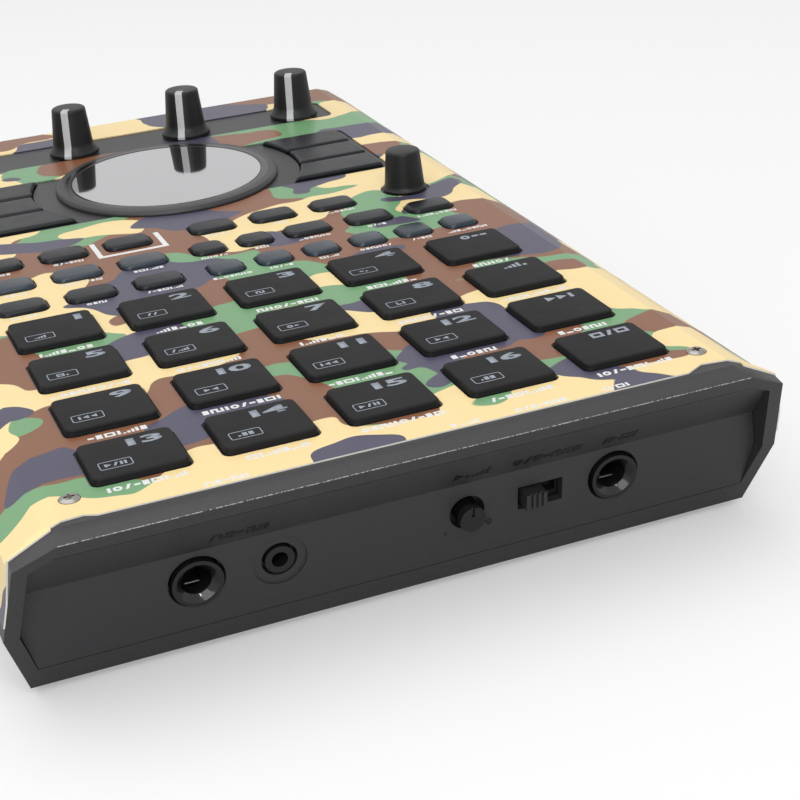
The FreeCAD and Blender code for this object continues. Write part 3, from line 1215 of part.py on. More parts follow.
def pots_and_switches():
    """Pots under the knobs, the encoder, the gain pot and both slide switches."""
    encoder_depth = SHAFT_DEPTH_IN_ENCODER + PLUNGER_THICKNESS + VALUE_PUSH + 2 * FIT_GAP
    pieces = [pot_body(x, y, SHAFT_DEPTH_IN_POT + FIT_GAP) for x, y in knob_places()]
    pieces.append(pot_body(VALUE_X, VALUE_Y, encoder_depth))
    start = JACK_PANEL_WALL + MOVING_GAP
    half = GAIN_BODY_WIDTH / 2
    gain_body = box(-half, half, start, GAIN_SHAFT_DEPTH + GAIN_BODY_DEPTH / 2, -JACK_BODY_HEIGHT / 2, half)
    gain_bore = bar_along_y(GAIN_SHAFT_RADIUS + SHAFT_CLEARANCE, 0, 0, start - 1, GAIN_SHAFT_DEPTH + FIT_GAP)
    pieces.append(on_front(gain_body.cut(gain_bore), GAIN_X))
    pieces.append(on_front(switch_body(), INPUT_SWITCH_X))
    pieces.append(on_rear(switch_body(), POWER_SWITCH_X, SOCKET_AXIS_Z))
    return Part.makeCompound(pieces)


def rubber_feet():
    """Four feet in round seats under the case."""
    return Part.makeCompound([cylinder(FOOT_RADIUS - FIT_GAP, x, y, 0, CASE_BOTTOM + FOOT_SEAT_DEPTH)
                              for x, y in foot_places()])


def screw(length):
    """A crosshead screw that points down, its head's underside at the origin."""
    head = turned([(0, 0), (SCREW_HEAD_RADIUS, 0), (SCREW_HEAD_RADIUS, SCREW_HEAD_HEIGHT / 2),
                   (SCREW_CROWN_RADIUS, SCREW_HEAD_HEIGHT), (0, SCREW_HEAD_HEIGHT)])
    shank = cylinder(SCREW_RADIUS, 0, 0, -length, SCREW_HEAD_HEIGHT / 2)
    arm, wide = SCREW_CROSS_REACH, SCREW_CROSS_WIDTH / 2
    low = SCREW_HEAD_HEIGHT - SCREW_CROSS_DEPTH
    cross = [box(-arm, arm, -wide, wide, low, 2 * SCREW_HEAD_HEIGHT),
             box(-wide, wide, -arm, arm, low, 2 * SCREW_HEAD_HEIGHT)]
    return joined([head, shank]).cut(joined(cross))


def screws():
    """Case, board and panel screws."""
    pieces = []
    for side in (-1, 1):
        top = screw(TOP_SCREW_LENGTH)
        top.translate(V(side * TOP_SCREW_X, TOP_SCREW_Y, 0))
        pieces.append(on_panel(top))
    upside_down = FreeCAD.Rotation(V(1, 0, 0), 180)
    for x, y in case_screw_places():
        below = screw(CASE_SCREW_LENGTH)
        below.Placement = FreeCAD.Placement(V(x, y, CASE_BOTTOM + HEAD_RECESS_DEPTH), upside_down)
        pieces.append(below)
    for x, y in board_posts():
        board = screw(-CONTROL_BOARD_BOTTOM - TOP_WALL / 2 - SOCKET_CLEARANCE)
        board.Placement = FreeCAD.Placement(V(x, y, CONTROL_BOARD_BOTTOM), upside_down)
        pieces.append(on_panel(board))
    for x, y in main_posts():
        main = screw(MAIN_SCREW_LENGTH)
        main.translate(V(x, y, MAIN_BOARD_TOP_Z))
        pieces.append(main)
    return Part.makeCompound(pieces)


def pad_name(column, row):
    """Pads are numbered from the rear row, and the fifth column is the function pads."""
    from_rear = PAD_ROWS - 1 - row
    if column == PAD_COLUMNS - 1:
        return "function_pad_" + str(from_rear + 1)
    return "pad_" + str(from_rear * (PAD_COLUMNS - 1) + column + 1)


def main():
    """Build every piece and write it to its file."""
    export("top_case", top_case())
    export("bottom_case", bottom_case())
    export("front_panel", front_panel())
    export("rear_panel", rear_panel())
    export("panel_skin", panel_skin())
    export("display_bezel", display_bezel())
    export("display_lens", display_lens())
    export("display_module", display_module())
    export("control_board", control_board())
    export("main_board", main_board())
    export("pots_and_switches", pots_and_switches())
    export("front_jack_board", front_jack_board())
    export("quarter_inch_jacks", quarter_inch_jacks())
    export("small_sockets", small_sockets())
    export("battery_cover", battery_cover())
    export("batteries", batteries())
    export("battery_contacts", battery_contacts())
    export("rubber_feet", rubber_feet())
    export("screws", screws())
    for column, row, x, y in pad_places():
        export(pad_name(column, row), pad(x, y))
    for name, keys in key_rows().items():
        export(name, Part.makeCompound([small_key(x, y, width) for x, y, width in keys]))
    for side, side_name in ((-1, "left"), (1, "right")):
        for index in range(EFFECT_ROWS):
            export("effect_key_" + side_name + "_" + str(EFFECT_ROWS - index), effect_key(index, side))
    for index, (x, y) in enumerate(knob_places()):
        export("control_knob_" + str(index) if index else "volume_knob", panel_knob(x, y))
    export("value_knob", value_knob())
    export("value_plunger", value_plunger())
    export("gain_knob", gain_knob())
    export("input_switch", on_front(switch_slider(), INPUT_SWITCH_X))
    export("power_switch", on_rear(switch_slider(), POWER_SWITCH_X, SOCKET_AXIS_Z))


main()
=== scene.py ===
import json
import math

import bpy
from mathutils import Matrix, Vector

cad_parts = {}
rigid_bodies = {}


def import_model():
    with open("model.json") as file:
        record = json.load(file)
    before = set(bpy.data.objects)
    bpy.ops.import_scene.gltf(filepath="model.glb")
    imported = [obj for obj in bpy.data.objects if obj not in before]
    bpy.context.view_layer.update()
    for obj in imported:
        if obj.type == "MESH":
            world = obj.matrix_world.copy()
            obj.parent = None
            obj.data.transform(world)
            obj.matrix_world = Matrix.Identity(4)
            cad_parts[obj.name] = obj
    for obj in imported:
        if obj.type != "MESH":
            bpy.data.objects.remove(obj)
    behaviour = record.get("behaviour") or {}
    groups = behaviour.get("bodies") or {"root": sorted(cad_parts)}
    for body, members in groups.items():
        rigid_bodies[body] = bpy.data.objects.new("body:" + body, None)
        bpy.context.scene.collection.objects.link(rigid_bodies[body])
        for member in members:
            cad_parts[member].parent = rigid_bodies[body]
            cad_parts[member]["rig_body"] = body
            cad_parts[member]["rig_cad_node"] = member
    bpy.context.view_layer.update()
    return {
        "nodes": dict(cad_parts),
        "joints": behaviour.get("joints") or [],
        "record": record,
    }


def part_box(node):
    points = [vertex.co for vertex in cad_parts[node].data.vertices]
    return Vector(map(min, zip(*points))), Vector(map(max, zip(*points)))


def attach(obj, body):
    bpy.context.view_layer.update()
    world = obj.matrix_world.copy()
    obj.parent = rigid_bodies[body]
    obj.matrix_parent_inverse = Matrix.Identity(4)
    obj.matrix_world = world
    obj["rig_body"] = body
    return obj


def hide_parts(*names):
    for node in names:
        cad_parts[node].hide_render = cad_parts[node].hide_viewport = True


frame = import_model()
NODES = frame["nodes"]
BODY_OF = {node: body for body, nodes in frame["record"]["behaviour"]["bodies"].items() for node in nodes}
JOINTS = {joint["name"]: joint for joint in frame["joints"]}
MM = 0.001

# View of the photograph: the camera's place, and its direction seen from the sampler
CAMERA_PLACE = Vector((-116.16, -439.73, 186.57)) * MM
CAMERA_AZIMUTH = -20.20
CAMERA_ELEVATION = 22.42
CAMERA_ROLL = -5.03
FOCAL_LENGTH = 78.6
SENSOR_WIDTH = 36.0
CAMERA_NEAR = 0.01

# Room
FLOOR_SIZE = 12.0
FLOOR_COLOUR = (0.62, 0.62, 0.62, 1)
FLOOR_GLOW = 0.30
SKY_COLOUR = (0.92, 0.92, 0.925, 1)
SKY_LIGHT = 0.62
SKY_SEEN = 0.92
SOFTBOX_SIZE = 1.8
SOFTBOX_PLACE = Vector((-0.35, 0.10, 1.45))
SOFTBOX_POWER = 11.0
FILL_SIZE = 1.1
FILL_PLACE = Vector((-0.7, -1.5, 0.7))
FILL_POWER = 10.0
GLINT_SIZE = 0.16
GLINT_PLACE = Vector((-0.05, -1.15, 1.08))
GLINT_POWER = 3.0

# Pads and keys, as far as the frame doesn't say it
PAD_NAMES = ("pad_", "function_pad_")
PALE_KEY_ROWS = ("left_keys_middle", "right_keys_front")
SKIN_FRONT_MARGIN = 0.8 * MM
SKIN_THICKNESS = 0.35 * MM
FLANGE_THICKNESS = 0.9 * MM
FOOT_FLARE = 0.2 * MM
FLARE_HEIGHT = 0.55 * MM
PAD_FLANGE = 1.2 * MM
PAD_CORNER = 1.5 * MM
PAD_EDGE = 0.55 * MM
KEY_FLANGE = 0.8 * MM
KEY_CORNER = 2.3 * MM
KEY_EDGE = 0.95 * MM
CORNER_STEPS = 7
EDGE_STEPS = 5
CAP_SMOOTH = math.radians(40)
UPWARD = 0.9
DOWNWARD = -0.5

# Tall knobs and the value knob, turned round their shafts
KNOB_GAP = 0.6 * MM
KNOB_WAIST = 6.2 * MM
KNOB_TOP = 5.3 * MM
KNOB_SKIRT = 4.0 * MM
KNOB_RIM = 0.8 * MM
KNOB_ROUND = 0.8 * MM
VALUE_WAIST = 5.7 * MM
VALUE_TOP = 4.9 * MM
VALUE_SKIRT = 1.6 * MM
VALUE_RIM = 0.3 * MM
SHAFT_RADIUS = 3.0 * MM
SHAFT_CHAMFER = 0.3 * MM
SHAFT_SIDES = 48
KNOB_SIDES = 96
KNOB_SMOOTH = math.radians(35)
FLARE_STEPS = 6
ROUND_STEPS = 4
POINTER_WIDTH = 2.2 * MM
POINTER_REACH = 2.2 * MM
POINTER_TURN = math.radians(-27.5)

# Printing on the pads
INK = 0.02 * MM
DIGIT_HEIGHT = 3.4 * MM
DIGIT_WIDENING = 2.35
DIGIT_WEIGHT = 0.035
DIGIT_SPACING = 0.86
DIGIT_STEPS = 3
DIGIT_INSET_X = 2.6 * MM
DIGIT_INSET_Y = 2.2 * MM
SYMBOL_BOX = Vector((7.0, 3.5)) * MM
SYMBOL_LINE = 0.22 * MM
SYMBOL_CORNER = 0.6 * MM
SYMBOL_CORNER_STEPS = 3
SYMBOL_INSET_X = 2.3 * MM
SYMBOL_INSET_Y = 3.3 * MM
SYMBOL_HEIGHT = 1.5 * MM
FUNCTION_HEIGHT = 2.6 * MM
PAD_SYMBOLS = {1: "steps", 2: "slash slash", 3: "wave", 4: "tie point", 5: "frame point", 6: "slash steps",
               7: "ring tie", 8: "corner bar", 9: "bar left left", 10: "right left", 11: "bar left left",
               12: "right left", 13: "right slash bar bar", 14: "point post post", 15: "right slash bar bar",
               16: "point post post"}
FUNCTION_SYMBOLS = {1: "ring tie tie", 2: "steps point", 3: "right right bar", 4: "frame slash frame"}

# Printing on the skin: rows of the legend's signs, centred in front of each pad and key
LEGEND = ("post", "wave", "bar", "ring", "slash", "tie", "post", "frame", "bar", "steps", "post", "dash",
          "ring")
PAD_LEAST_SIGNS = 5
KEY_LEAST_SIGNS = 3
SPREAD_OF_SIGNS = 5
LENGTH_STRIDE = 3
START_STRIDE = 5
SOCKET_SIGNS = ("ears post tie wave bar", "right point steps", "ring slash post tie wave bar post",
                "bar right frame bar")
PAD_MARK_GAP = 3.0 * MM
PAD_MARK_HEIGHT = 1.95 * MM
KEY_MARK_GAP = 2.1 * MM
KEY_MARK_HEIGHT = 1.4 * MM
SOCKET_MARK_Y = 2.3 * MM
SOCKET_MARK_HEIGHT = 1.7 * MM
SOCKET_MARK_SHIFT = -1.8 * MM
MARK_GAP = 0.22
DOT_SIDES = 20
BRACKETED_ROW = "left_keys_rear"
BRACKET_LINE = 1.4 * MM
BRACKET_MARGIN = 2.2 * MM

# Raised marks on the jack panel, and the leaf springs inside its sockets
RAISED = 0.12 * MM
RAISED_HEIGHT = 2.3 * MM
RAISED_LEVEL = 29.8 * MM
RAISED_STRETCH = 1.3
LEVEL_MARK_REACH = 5.2 * MM
LEVEL_MARK_DROP = 4.7 * MM
LEVEL_MARK_HEIGHT = 1.6 * MM
LEAF_SIZE = Vector((3.4, 0.3, 4.0)) * MM
LEAF_SINK = 2.6 * MM
LEAF_SHIFT = -0.6 * MM
LEAF_LIFT = -1.9 * MM
LEAF_BEND = 0.5 * MM
LEAF_EDGE = 0.08 * MM
NEAR_FRONT = 60 * MM

# Effect keys beside the display
EFFECT_EDGE = 0.9 * MM
EFFECT_EDGE_STEPS = 5
EFFECT_FLANGE_THICKNESS = 0.8 * MM
EFFECT_FLANGE_EDGE = 0.38 * MM
CURVE_STEPS = 5

# Softened edges of the moulded shells and small parts
SHELL_EDGE = 0.25 * MM
SMALL_EDGE = 0.1 * MM
CAP_EDGE = 0.45 * MM
EASE_STEPS = 2
SHARP = math.radians(30)
TOUCHING = 0.002 * MM
FLAT = math.radians(0.5)

# Moulded plastic: its grain, and smudges of handling that vary its roughness
CASE_ROUGHNESS = 0.42
CASE_GRAIN = 0.45 * MM
CASE_GRAIN_DEPTH = 0.1 * MM
RING_GRAIN_DEPTH = 0.04 * MM
SMALL_GRAIN = 0.5 * MM
SMALL_GRAIN_DEPTH = 0.02 * MM
SMUDGE_SIZE = 35 * MM
SMUDGE_REACH = 0.16

# A thin pale line painted along the case's lip: a painted highlight where its edge catches the light
LIP_HIGHLIGHT_WIDTH = 0.08 * MM
LIP_HIGHLIGHT_FROM = 20 * MM
LIP_HIGHLIGHT_END = 12 * MM
LIP_HIGHLIGHT_SIZE = 0.35 * MM
LIP_HIGHLIGHT_SHARE = 0.49

# Glossy band between the display's window and its ring
RING_BAND = 2.2 * MM
RING_BAND_BLUR = 0.2 * MM
BAND_ROUGHNESS = 0.16
BAND_CHANGE = 0.26

# Printed skin: its patches and their bent outlines, its grain and its cut white front edge
CAMO_STRETCH = (0.62, 1.0, 1.0)
CAMO_BLUR = 0.0015
WANDER_SCALE = 55.0
WANDER_REACH = (0.012, 0.012, 0.012)
SKIN_GRAIN = 0.4 * MM
SKIN_GRAIN_DEPTH = 0.02 * MM
CUT_FACING = -0.8
CUT_DEPTH = 12 * MM

# Rubber: dust in its pores, uneven sheen and grain
DUST_SIZE = 3.5 * MM
DUST_FROM = 0.62
DUST_FULL = 0.8
DUST_SHARE = 0.2
SHEEN_SIZE = 6 * MM
SHEEN_REACH = 0.14
RUBBER_GRAIN = 0.3 * MM
RUBBER_GRAIN_DEPTH = 0.02 * MM

# Polished surfaces: faint rub marks drawn out along X
RUB_SIZE = 4 * MM
RUB_STRETCH = (1, 6, 1)
RUB_REACH = 0.12
RUB_START = 0.04

# Ink: paler and darker spots
INK_SPOT = 0.8 * MM
INK_UNEVENNESS = 0.3

# Window: how far it turns from dark acrylic to a mirror when seen along it
MIRROR_BLEND = 0.62
MIRROR_TONE = (0.76, 0.76, 0.77, 1)

# Circuit boards and cell sleeves
TRACK_SCALE = 120.0
TRACK_PATCH = 20 * MM
SLEEVE_BANDS = 20.0
SLEEVE_SHARE = 0.7


class Signal:
    """A number or colour on its way through a material, which operators carry further."""

    def __init__(self, nodes, socket):
        self.nodes = nodes
        self.socket = socket

    def __add__(self, other):
        return self.nodes.maths("ADD", self, other)

    def __radd__(self, other):
        return self.nodes.maths("ADD", other, self)

    def __sub__(self, other):
        return self.nodes.maths("SUBTRACT", self, other)

    def __rsub__(self, other):
        return self.nodes.maths("SUBTRACT", other, self)

    def __mul__(self, other):
        return self.nodes.maths("MULTIPLY", self, other)

    def __rmul__(self, other):
        return self.nodes.maths("MULTIPLY", other, self)

    def __gt__(self, other):
        return self.nodes.maths("GREATER_THAN", self, other)

    def __lt__(self, other):
        return self.nodes.maths("LESS_THAN", self, other)

    def __abs__(self):
        return self.nodes.maths("ABSOLUTE", self)


class Nodes:
    """The nodes of a material or of the world."""

    def __init__(self, tree):
        self.tree = tree

    def node(self, kind, settings=None, inputs=None, output=0):
        """Any node, by its type, its settings and the values or signals of its sockets."""
        made = self.tree.nodes.new("ShaderNode" + kind)
        for key, value in (settings or {}).items():
            setattr(made, key, value)
        for key, value in (inputs or {}).items():
            self.feed(made.inputs[key], value)
        return Signal(self, made.outputs[output])

    def feed(self, socket, value):
        """Links a signal to a socket, or sets the socket to a value."""
        if isinstance(value, Signal):
            self.tree.links.new(value.socket, socket)
        else:
            socket.default_value = value

    def maths(self, operation, *values):
        """A Math node on numbers and signals."""
        return self.node("Math", {"operation": operation}, dict(enumerate(values)))


class Finish(Nodes):
    """A material: its surface shader, and the nodes that vary it."""

    def __init__(self, name, **constants):
        self.material = bpy.data.materials.new(name)
        self.material.use_nodes = True
        super().__init__(self.material.node_tree)
        self.surface = self.tree.nodes["Principled BSDF"]
        for socket, value in constants.items():
            self.surface.inputs[socket.replace("_", " ")].default_value = value

    def place(self):
        """Where a point lies on the sampler, in metres."""
        return self.node("TexCoord", output="Object")

    def facing(self):
        """Which way the surface faces, on the sampler's own axes."""
        return self.node("TexCoord", output="Normal")

    def part_of(self, vector, axis):
        """One of a vector's three numbers."""
        return self.node("SeparateXYZ", inputs={"Vector": vector}, output=axis)

    def stretched(self, vector, scale, shift=(0, 0, 0)):
        """A vector scaled along each axis and then shifted."""
        return self.node("Mapping", inputs={"Vector": vector, "Location": shift, "Scale": scale})

    def noise(self, vector, size, detail=2.0, roughness=0.5):
        """Smooth noise whose patches are about a given size in metres."""
        inputs = {"Vector": vector, "Scale": 1 / size, "Detail": detail, "Roughness": roughness}
        return self.node("TexNoise", inputs=inputs)

    def step(self, signal, low, high):
        """Rises smoothly from 0 to 1 while a signal goes from low to high."""
        inputs = {"Value": signal, 1: low, 2: high}
        return self.node("MapRange", {"interpolation_type": "SMOOTHSTEP"}, inputs)

    def blend(self, share, first, second):
        """A colour between two others."""
        inputs = {0: share, 6: first, 7: second}
        return self.node("Mix", {"data_type": "RGBA"}, inputs, 2)

    def vary(self, socket, value):
        """Lets a signal drive a property of the surface."""
        self.feed(self.surface.inputs[socket], value)

    def bumps(self, height, depth):
        """Raises the surface where a signal is high, up to a depth in metres."""
        bump = self.node("Bump", inputs={"Height": height, "Distance": depth, "Strength": 1.0})
        self.vary("Normal", bump)

    def cover(self, shader):
        """Takes another shader than the surface's own for the material."""
        self.feed(self.tree.nodes["Material Output"].inputs["Surface"], shader)

    def base(self):
        """The surface's own shader, to mix with another."""
        return Signal(self, self.surface.outputs[0])


def colour(red, green, blue):
    """A screen colour, 0 to 255 each, as the shader needs it."""
    def linear(value):
        share = value / 255
        return share / 12.92 if share <= 0.04045 else ((share + 0.055) / 1.055) ** 2.4
    return (linear(red), linear(green), linear(blue), 1.0)


CASE_BLACK = colour(46, 46, 48)
# Pale colour of the painted highlight along the case's lip edge
LIP_HIGHLIGHT_TONE = colour(178, 178, 175)
BAND_BLACK = colour(18, 18, 19)
VINYL_WHITE = colour(225, 222, 214)
DUST_GREY = colour(80, 80, 82)
INK_GREY = colour(120, 124, 130)
RESIST_GREEN = colour(18, 74, 44)
TRACK_GREEN = colour(40, 112, 66)
SLEEVE_GREY = colour(60, 62, 66)
SLEEVE_COPPER = colour(176, 140, 84)

# The skin's ground, and its patches: colour, size, place in the noise and least noise
CAMO_BROWN = colour(130, 84, 56)
CAMO_PATCHES = ((colour(112, 158, 112), 30 * MM, (0.31, 0.12, 0.0), 0.52),
                (colour(244, 218, 158), 28 * MM, (0.77, 0.53, 0.2), 0.545),
                (colour(70, 67, 88), 24 * MM, (0.15, 0.91, 0.4), 0.57))


def grained_plastic(name, tone, roughness, grain, depth, sheen=0.5):
    """Moulded plastic with a fine spark-eroded grain and slight smudges of handling."""
    finish = Finish(name, Base_Color=tone, Specular_IOR_Level=sheen)
    place = finish.place()
    smudge = finish.noise(place, SMUDGE_SIZE, detail=3.0)
    finish.vary("Roughness", smudge * SMUDGE_REACH + (roughness - SMUDGE_REACH / 2))
    finish.bumps(finish.noise(place, grain, roughness=0.6), depth)
    return finish


def case_plastic():
    """Satin black ABS, with a painted highlight: a thin pale dotted line along its front lip edge."""
    finish = grained_plastic("case_plastic", CASE_BLACK, CASE_ROUGHNESS, CASE_GRAIN, CASE_GRAIN_DEPTH)
    place = finish.place()
    low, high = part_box("top_case")
    along_x = abs(finish.part_of(place, "X"))
    near_edge = abs(finish.part_of(place, "Y") - low.y) < LIP_HIGHLIGHT_WIDTH
    at_lip = finish.part_of(place, "Z") > low.z + LIP_HIGHLIGHT_FROM
    highlight_dots = finish.noise(place, LIP_HIGHLIGHT_SIZE, detail=3.0, roughness=0.7) > LIP_HIGHLIGHT_SHARE
    inside = along_x < high.x - LIP_HIGHLIGHT_END
    # Where the painted highlight lies: in dots along the lip's edge, short of the case's ends
    painted_highlight = near_edge * at_lip * highlight_dots * inside
    finish.vary("Base Color", finish.blend(painted_highlight, CASE_BLACK, LIP_HIGHLIGHT_TONE))
    return finish


def ring_plastic():
    """The case's plastic, with a black glossy band round the display."""
    finish = grained_plastic("ring_plastic", CASE_BLACK, CASE_ROUGHNESS, CASE_GRAIN, RING_GRAIN_DEPTH)
    low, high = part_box("display_lens")
    middle = (low + high) / 2
    radius = (high.x - low.x) / 2
    place = finish.place()
    across = finish.part_of(place, "X") - middle.x
    along = (finish.part_of(place, "Y") - middle.y) * (radius / ((high.y - low.y) / 2))
    distance = finish.maths("SQRT", across * across + along * along)
    beyond = finish.step(distance, radius + RING_BAND, radius + RING_BAND + RING_BAND_BLUR)
    finish.vary("Base Color", finish.blend(beyond, BAND_BLACK, CASE_BLACK))
    finish.vary("Roughness", beyond * BAND_CHANGE + BAND_ROUGHNESS)
    return finish


def camouflage_skin():
    """Printed vinyl sheet: rounded patches of four colours under a satin laminate."""
    finish = Finish("printed_skin", Roughness=0.36)
    place = finish.place()
    wander = finish.node("TexNoise", inputs={"Vector": place, "Scale": WANDER_SCALE, "Detail": 1.0},
                         output="Color")
    push = finish.node("VectorMath", {"operation": "MULTIPLY_ADD"}, {0: wander, 1: WANDER_REACH, 2: place})
    colours = CAMO_BROWN
    for tone, size, shift, threshold in CAMO_PATCHES:
        place_in_noise = finish.stretched(push, CAMO_STRETCH, shift)
        field = finish.noise(place_in_noise, size, detail=1.0, roughness=0.45)
        share = finish.step(field, threshold - CAMO_BLUR, threshold + CAMO_BLUR)
        colours = finish.blend(share, colours, tone)
    cut = finish.part_of(finish.facing(), "Y") < CUT_FACING
    near_front = finish.part_of(place, "Y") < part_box("panel_skin")[0].y + CUT_DEPTH
    finish.vary("Base Color", finish.blend(cut * near_front, colours, VINYL_WHITE))
    finish.bumps(finish.noise(place, SKIN_GRAIN), SKIN_GRAIN_DEPTH)
    return finish


def rubber(name, tone, roughness, sheen=0.5):
    """Silicone rubber with a matte skin and a little dust."""
    finish = Finish(name, Base_Color=tone, Specular_IOR_Level=sheen)
    place = finish.place()
    specks = finish.noise(place, DUST_SIZE, detail=4.0, roughness=0.75)
    dust = finish.step(specks, DUST_FROM, DUST_FULL)
    finish.vary("Base Color", finish.blend(dust * DUST_SHARE, tone, DUST_GREY))
    uneven = finish.noise(place, SHEEN_SIZE)
    finish.vary("Roughness", uneven * SHEEN_REACH + (roughness - SHEEN_REACH / 2))
    finish.bumps(finish.noise(place, RUBBER_GRAIN, roughness=0.6), RUBBER_GRAIN_DEPTH)
    return finish


def polished(name, tone, roughness, metallic=0.0):
    """A smooth surface with faint rub marks."""
    finish = Finish(name, Base_Color=tone, Metallic=metallic)
    place = finish.stretched(finish.place(), RUB_STRETCH)
    rubs = finish.noise(place, RUB_SIZE, detail=3.0, roughness=0.6)
    finish.vary("Roughness", rubs * RUB_REACH + (roughness - RUB_START))
    return finish


def ink(name, tone):
    """Screen-printed ink, a little uneven."""
    finish = Finish(name, Roughness=0.5)
    uneven = finish.noise(finish.place(), INK_SPOT)
    finish.vary("Base Color", finish.blend(uneven * INK_UNEVENNESS, tone, INK_GREY))
    return finish


def lens_acrylic():
    """Smoked window: dark from above, a mirror when seen along it."""
    finish = Finish("smoked_acrylic", Base_Color=colour(16, 17, 19), Roughness=0.06)
    mirror = finish.node("BsdfGlossy", inputs={"Color": MIRROR_TONE, "Roughness": 0.05})
    slant = finish.node("LayerWeight", inputs={"Blend": MIRROR_BLEND}, output="Facing")
    finish.cover(finish.node("MixShader", inputs={0: slant, 1: finish.base(), 2: mirror}))
    return finish


def solder_resist():
    """Green circuit board with paler tracks under the lacquer."""
    finish = Finish("solder_resist", Roughness=0.32)
    place = finish.place()
    inputs = {"Vector": place, "Scale": TRACK_SCALE, "Mortar Size": 0.03, "Brick Width": 0.8}
    tracks = finish.node("TexBrick", {"offset": 0.37, "squash": 1.0}, inputs, "Fac")
    patches = finish.noise(place, TRACK_PATCH, detail=1.0) > 0.5
    finish.vary("Base Color", finish.blend(tracks * patches, RESIST_GREEN, TRACK_GREEN))
    return finish


def cell_sleeve():
    """Printed cell sleeve in two plain tones."""
    finish = Finish("cell_sleeve", Roughness=0.28, Metallic=0.5)
    wave = finish.part_of(finish.place(), "X") * SLEEVE_BANDS
    bands = finish.maths("FRACT", wave) > SLEEVE_SHARE
    finish.vary("Base Color", finish.blend(bands, SLEEVE_GREY, SLEEVE_COPPER))
    return finish


def floor_paper():
    """Matt pale paper, to which the camera sees an even glow added."""
    finish = Finish("floor_paper", Base_Color=FLOOR_COLOUR, Roughness=0.9)
    seen = finish.node("LightPath", output="Is Camera Ray") * FLOOR_GLOW
    glow = finish.node("Emission", inputs={"Strength": seen})
    finish.cover(finish.node("AddShader", inputs={0: finish.base(), 1: glow}))
    return finish


def deselect():
    """Leaves no piece selected."""
    bpy.ops.object.select_all(action="DESELECT")


def choose(piece):
    """Makes a piece the only selected and the active one."""
    deselect()
    piece.select_set(True)
    bpy.context.view_layer.objects.active = piece


def settle(piece, place=None):
    """Puts a piece in a frame and writes its place into its mesh."""
    choose(piece)
    if place is not None:
        piece.matrix_world = place @ piece.matrix_world
    bpy.ops.object.transform_apply(location=True, rotation=True, scale=True)


def edit_faces(piece, wanted):
    """Opens a piece for editing with the faces selected whose centre and normal pass a test."""
    choose(piece)
    bpy.ops.object.mode_set(mode="EDIT")
    bpy.ops.mesh.select_mode(type="FACE")
    bpy.ops.mesh.select_all(action="DESELECT")
    bpy.ops.object.mode_set(mode="OBJECT")
    for face in piece.data.polygons:
        face.select = wanted(face.center, face.normal)
    bpy.ops.object.mode_set(mode="EDIT")


def edit_edges(piece, wanted):
    """The same for edges, tested by their two ends."""
    choose(piece)
    bpy.ops.object.mode_set(mode="EDIT")
    bpy.ops.mesh.select_mode(type="EDGE")
    bpy.ops.mesh.select_all(action="DESELECT")
    bpy.ops.object.mode_set(mode="OBJECT")
    spots = piece.data.vertices
    for edge in piece.data.edges:
        first, second = edge.vertices
        edge.select = wanted(spots[first].co, spots[second].co)
    bpy.ops.object.mode_set(mode="EDIT")


def edit_all(piece):
    """The same with all of the piece selected."""
    edit_faces(piece, lambda middle, normal: True)


def close_edit():
    """Ends the editing of a piece."""
    bpy.ops.object.mode_set(mode="OBJECT")


def smooth(piece, angle=SHARP):
    """Shades a piece smoothly over all edges that bend less than an angle."""
    choose(piece)
    bpy.ops.object.shade_smooth_by_angle(angle=angle)


def joined(name, pieces):
    """Several pieces made into one."""
    deselect()
    for piece in pieces:
        piece.select_set(True)
    bpy.context.view_layer.objects.active = pieces[0]
    if len(pieces) > 1:
        bpy.ops.object.join()
    pieces[0].name = name
    pieces[0].data.name = name
    return pieces[0]


def copied(piece, name):
    """A copy with a mesh of its own."""
    twin = piece.copy()
    twin.data = piece.data.copy()
    twin.name = name
    bpy.context.scene.collection.objects.link(twin)
    return twin


def coated(piece, *finishes):
    """Gives a piece its materials, the first one all over."""
    piece.data.materials.clear()
    for finish in finishes:
        piece.data.materials.append(finish.material)
    return piece


def stands_for(piece, node):
    """A finished piece takes a node's place and body, and the node is hidden."""
    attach(piece, BODY_OF[node])
    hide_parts(node)


def face_frame(spot, normal):
    """A frame on a face: X to the right, Y up the face and Z out of it."""
    out = Vector(normal).normalized()
    right = Vector((1, 0, 0))
    turn = Matrix((right, out.cross(right), out)).transposed().to_4x4()
    return Matrix.Translation(Vector(spot)) @ turn


def spots_in(place, node):
    """A node's points, seen in another frame."""
    back = place.inverted()
    return [back @ vertex.co for vertex in NODES[node].data.vertices]


def box_of(spots):
    """Lowest and highest corner of some points."""
    low = Vector(min(spot[axis] for spot in spots) for axis in range(3))
    high = Vector(max(spot[axis] for spot in spots) for axis in range(3))
    return low, high


def panel_frame():
    """The panel's frame, Y running back from its front edge, in the middle of the case."""
    joint = JOINTS["value_knob_turn"]
    spot = Vector(joint["pos_m"])
    spot.x = 0
    rough = face_frame(spot, joint["axis"])
    front = box_of(spots_in(rough, "panel_skin"))[0].y - SKIN_FRONT_MARGIN
    return rough @ Matrix.Translation((0, front, 0))


PANEL = panel_frame()


def shown(spots):
    """The box of those points that stand above the panel."""
    return box_of([spot for spot in spots if spot.z > 0])


def opened_copy(node, name):
    """A copy of a node, open for editing, all of it selected and its triangles made one skin."""
    shell = copied(NODES[node], name)
    shell.parent = None
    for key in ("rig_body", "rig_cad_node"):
        del shell[key]
    edit_all(shell)
    bpy.ops.mesh.remove_doubles(threshold=TOUCHING)
    return shell


def loose_parts(node):
    """The points of each separate solid of a node, seen in the panel's frame."""
    opened_copy(node, node + "_parts")
    bpy.ops.mesh.separate(type="LOOSE")
    close_edit()
    back = PANEL.inverted()
    parts = list(bpy.context.selected_objects)
    groups = [[back @ vertex.co for vertex in part.data.vertices] for part in parts]
    for part in parts:
        bpy.data.objects.remove(part)
    return groups


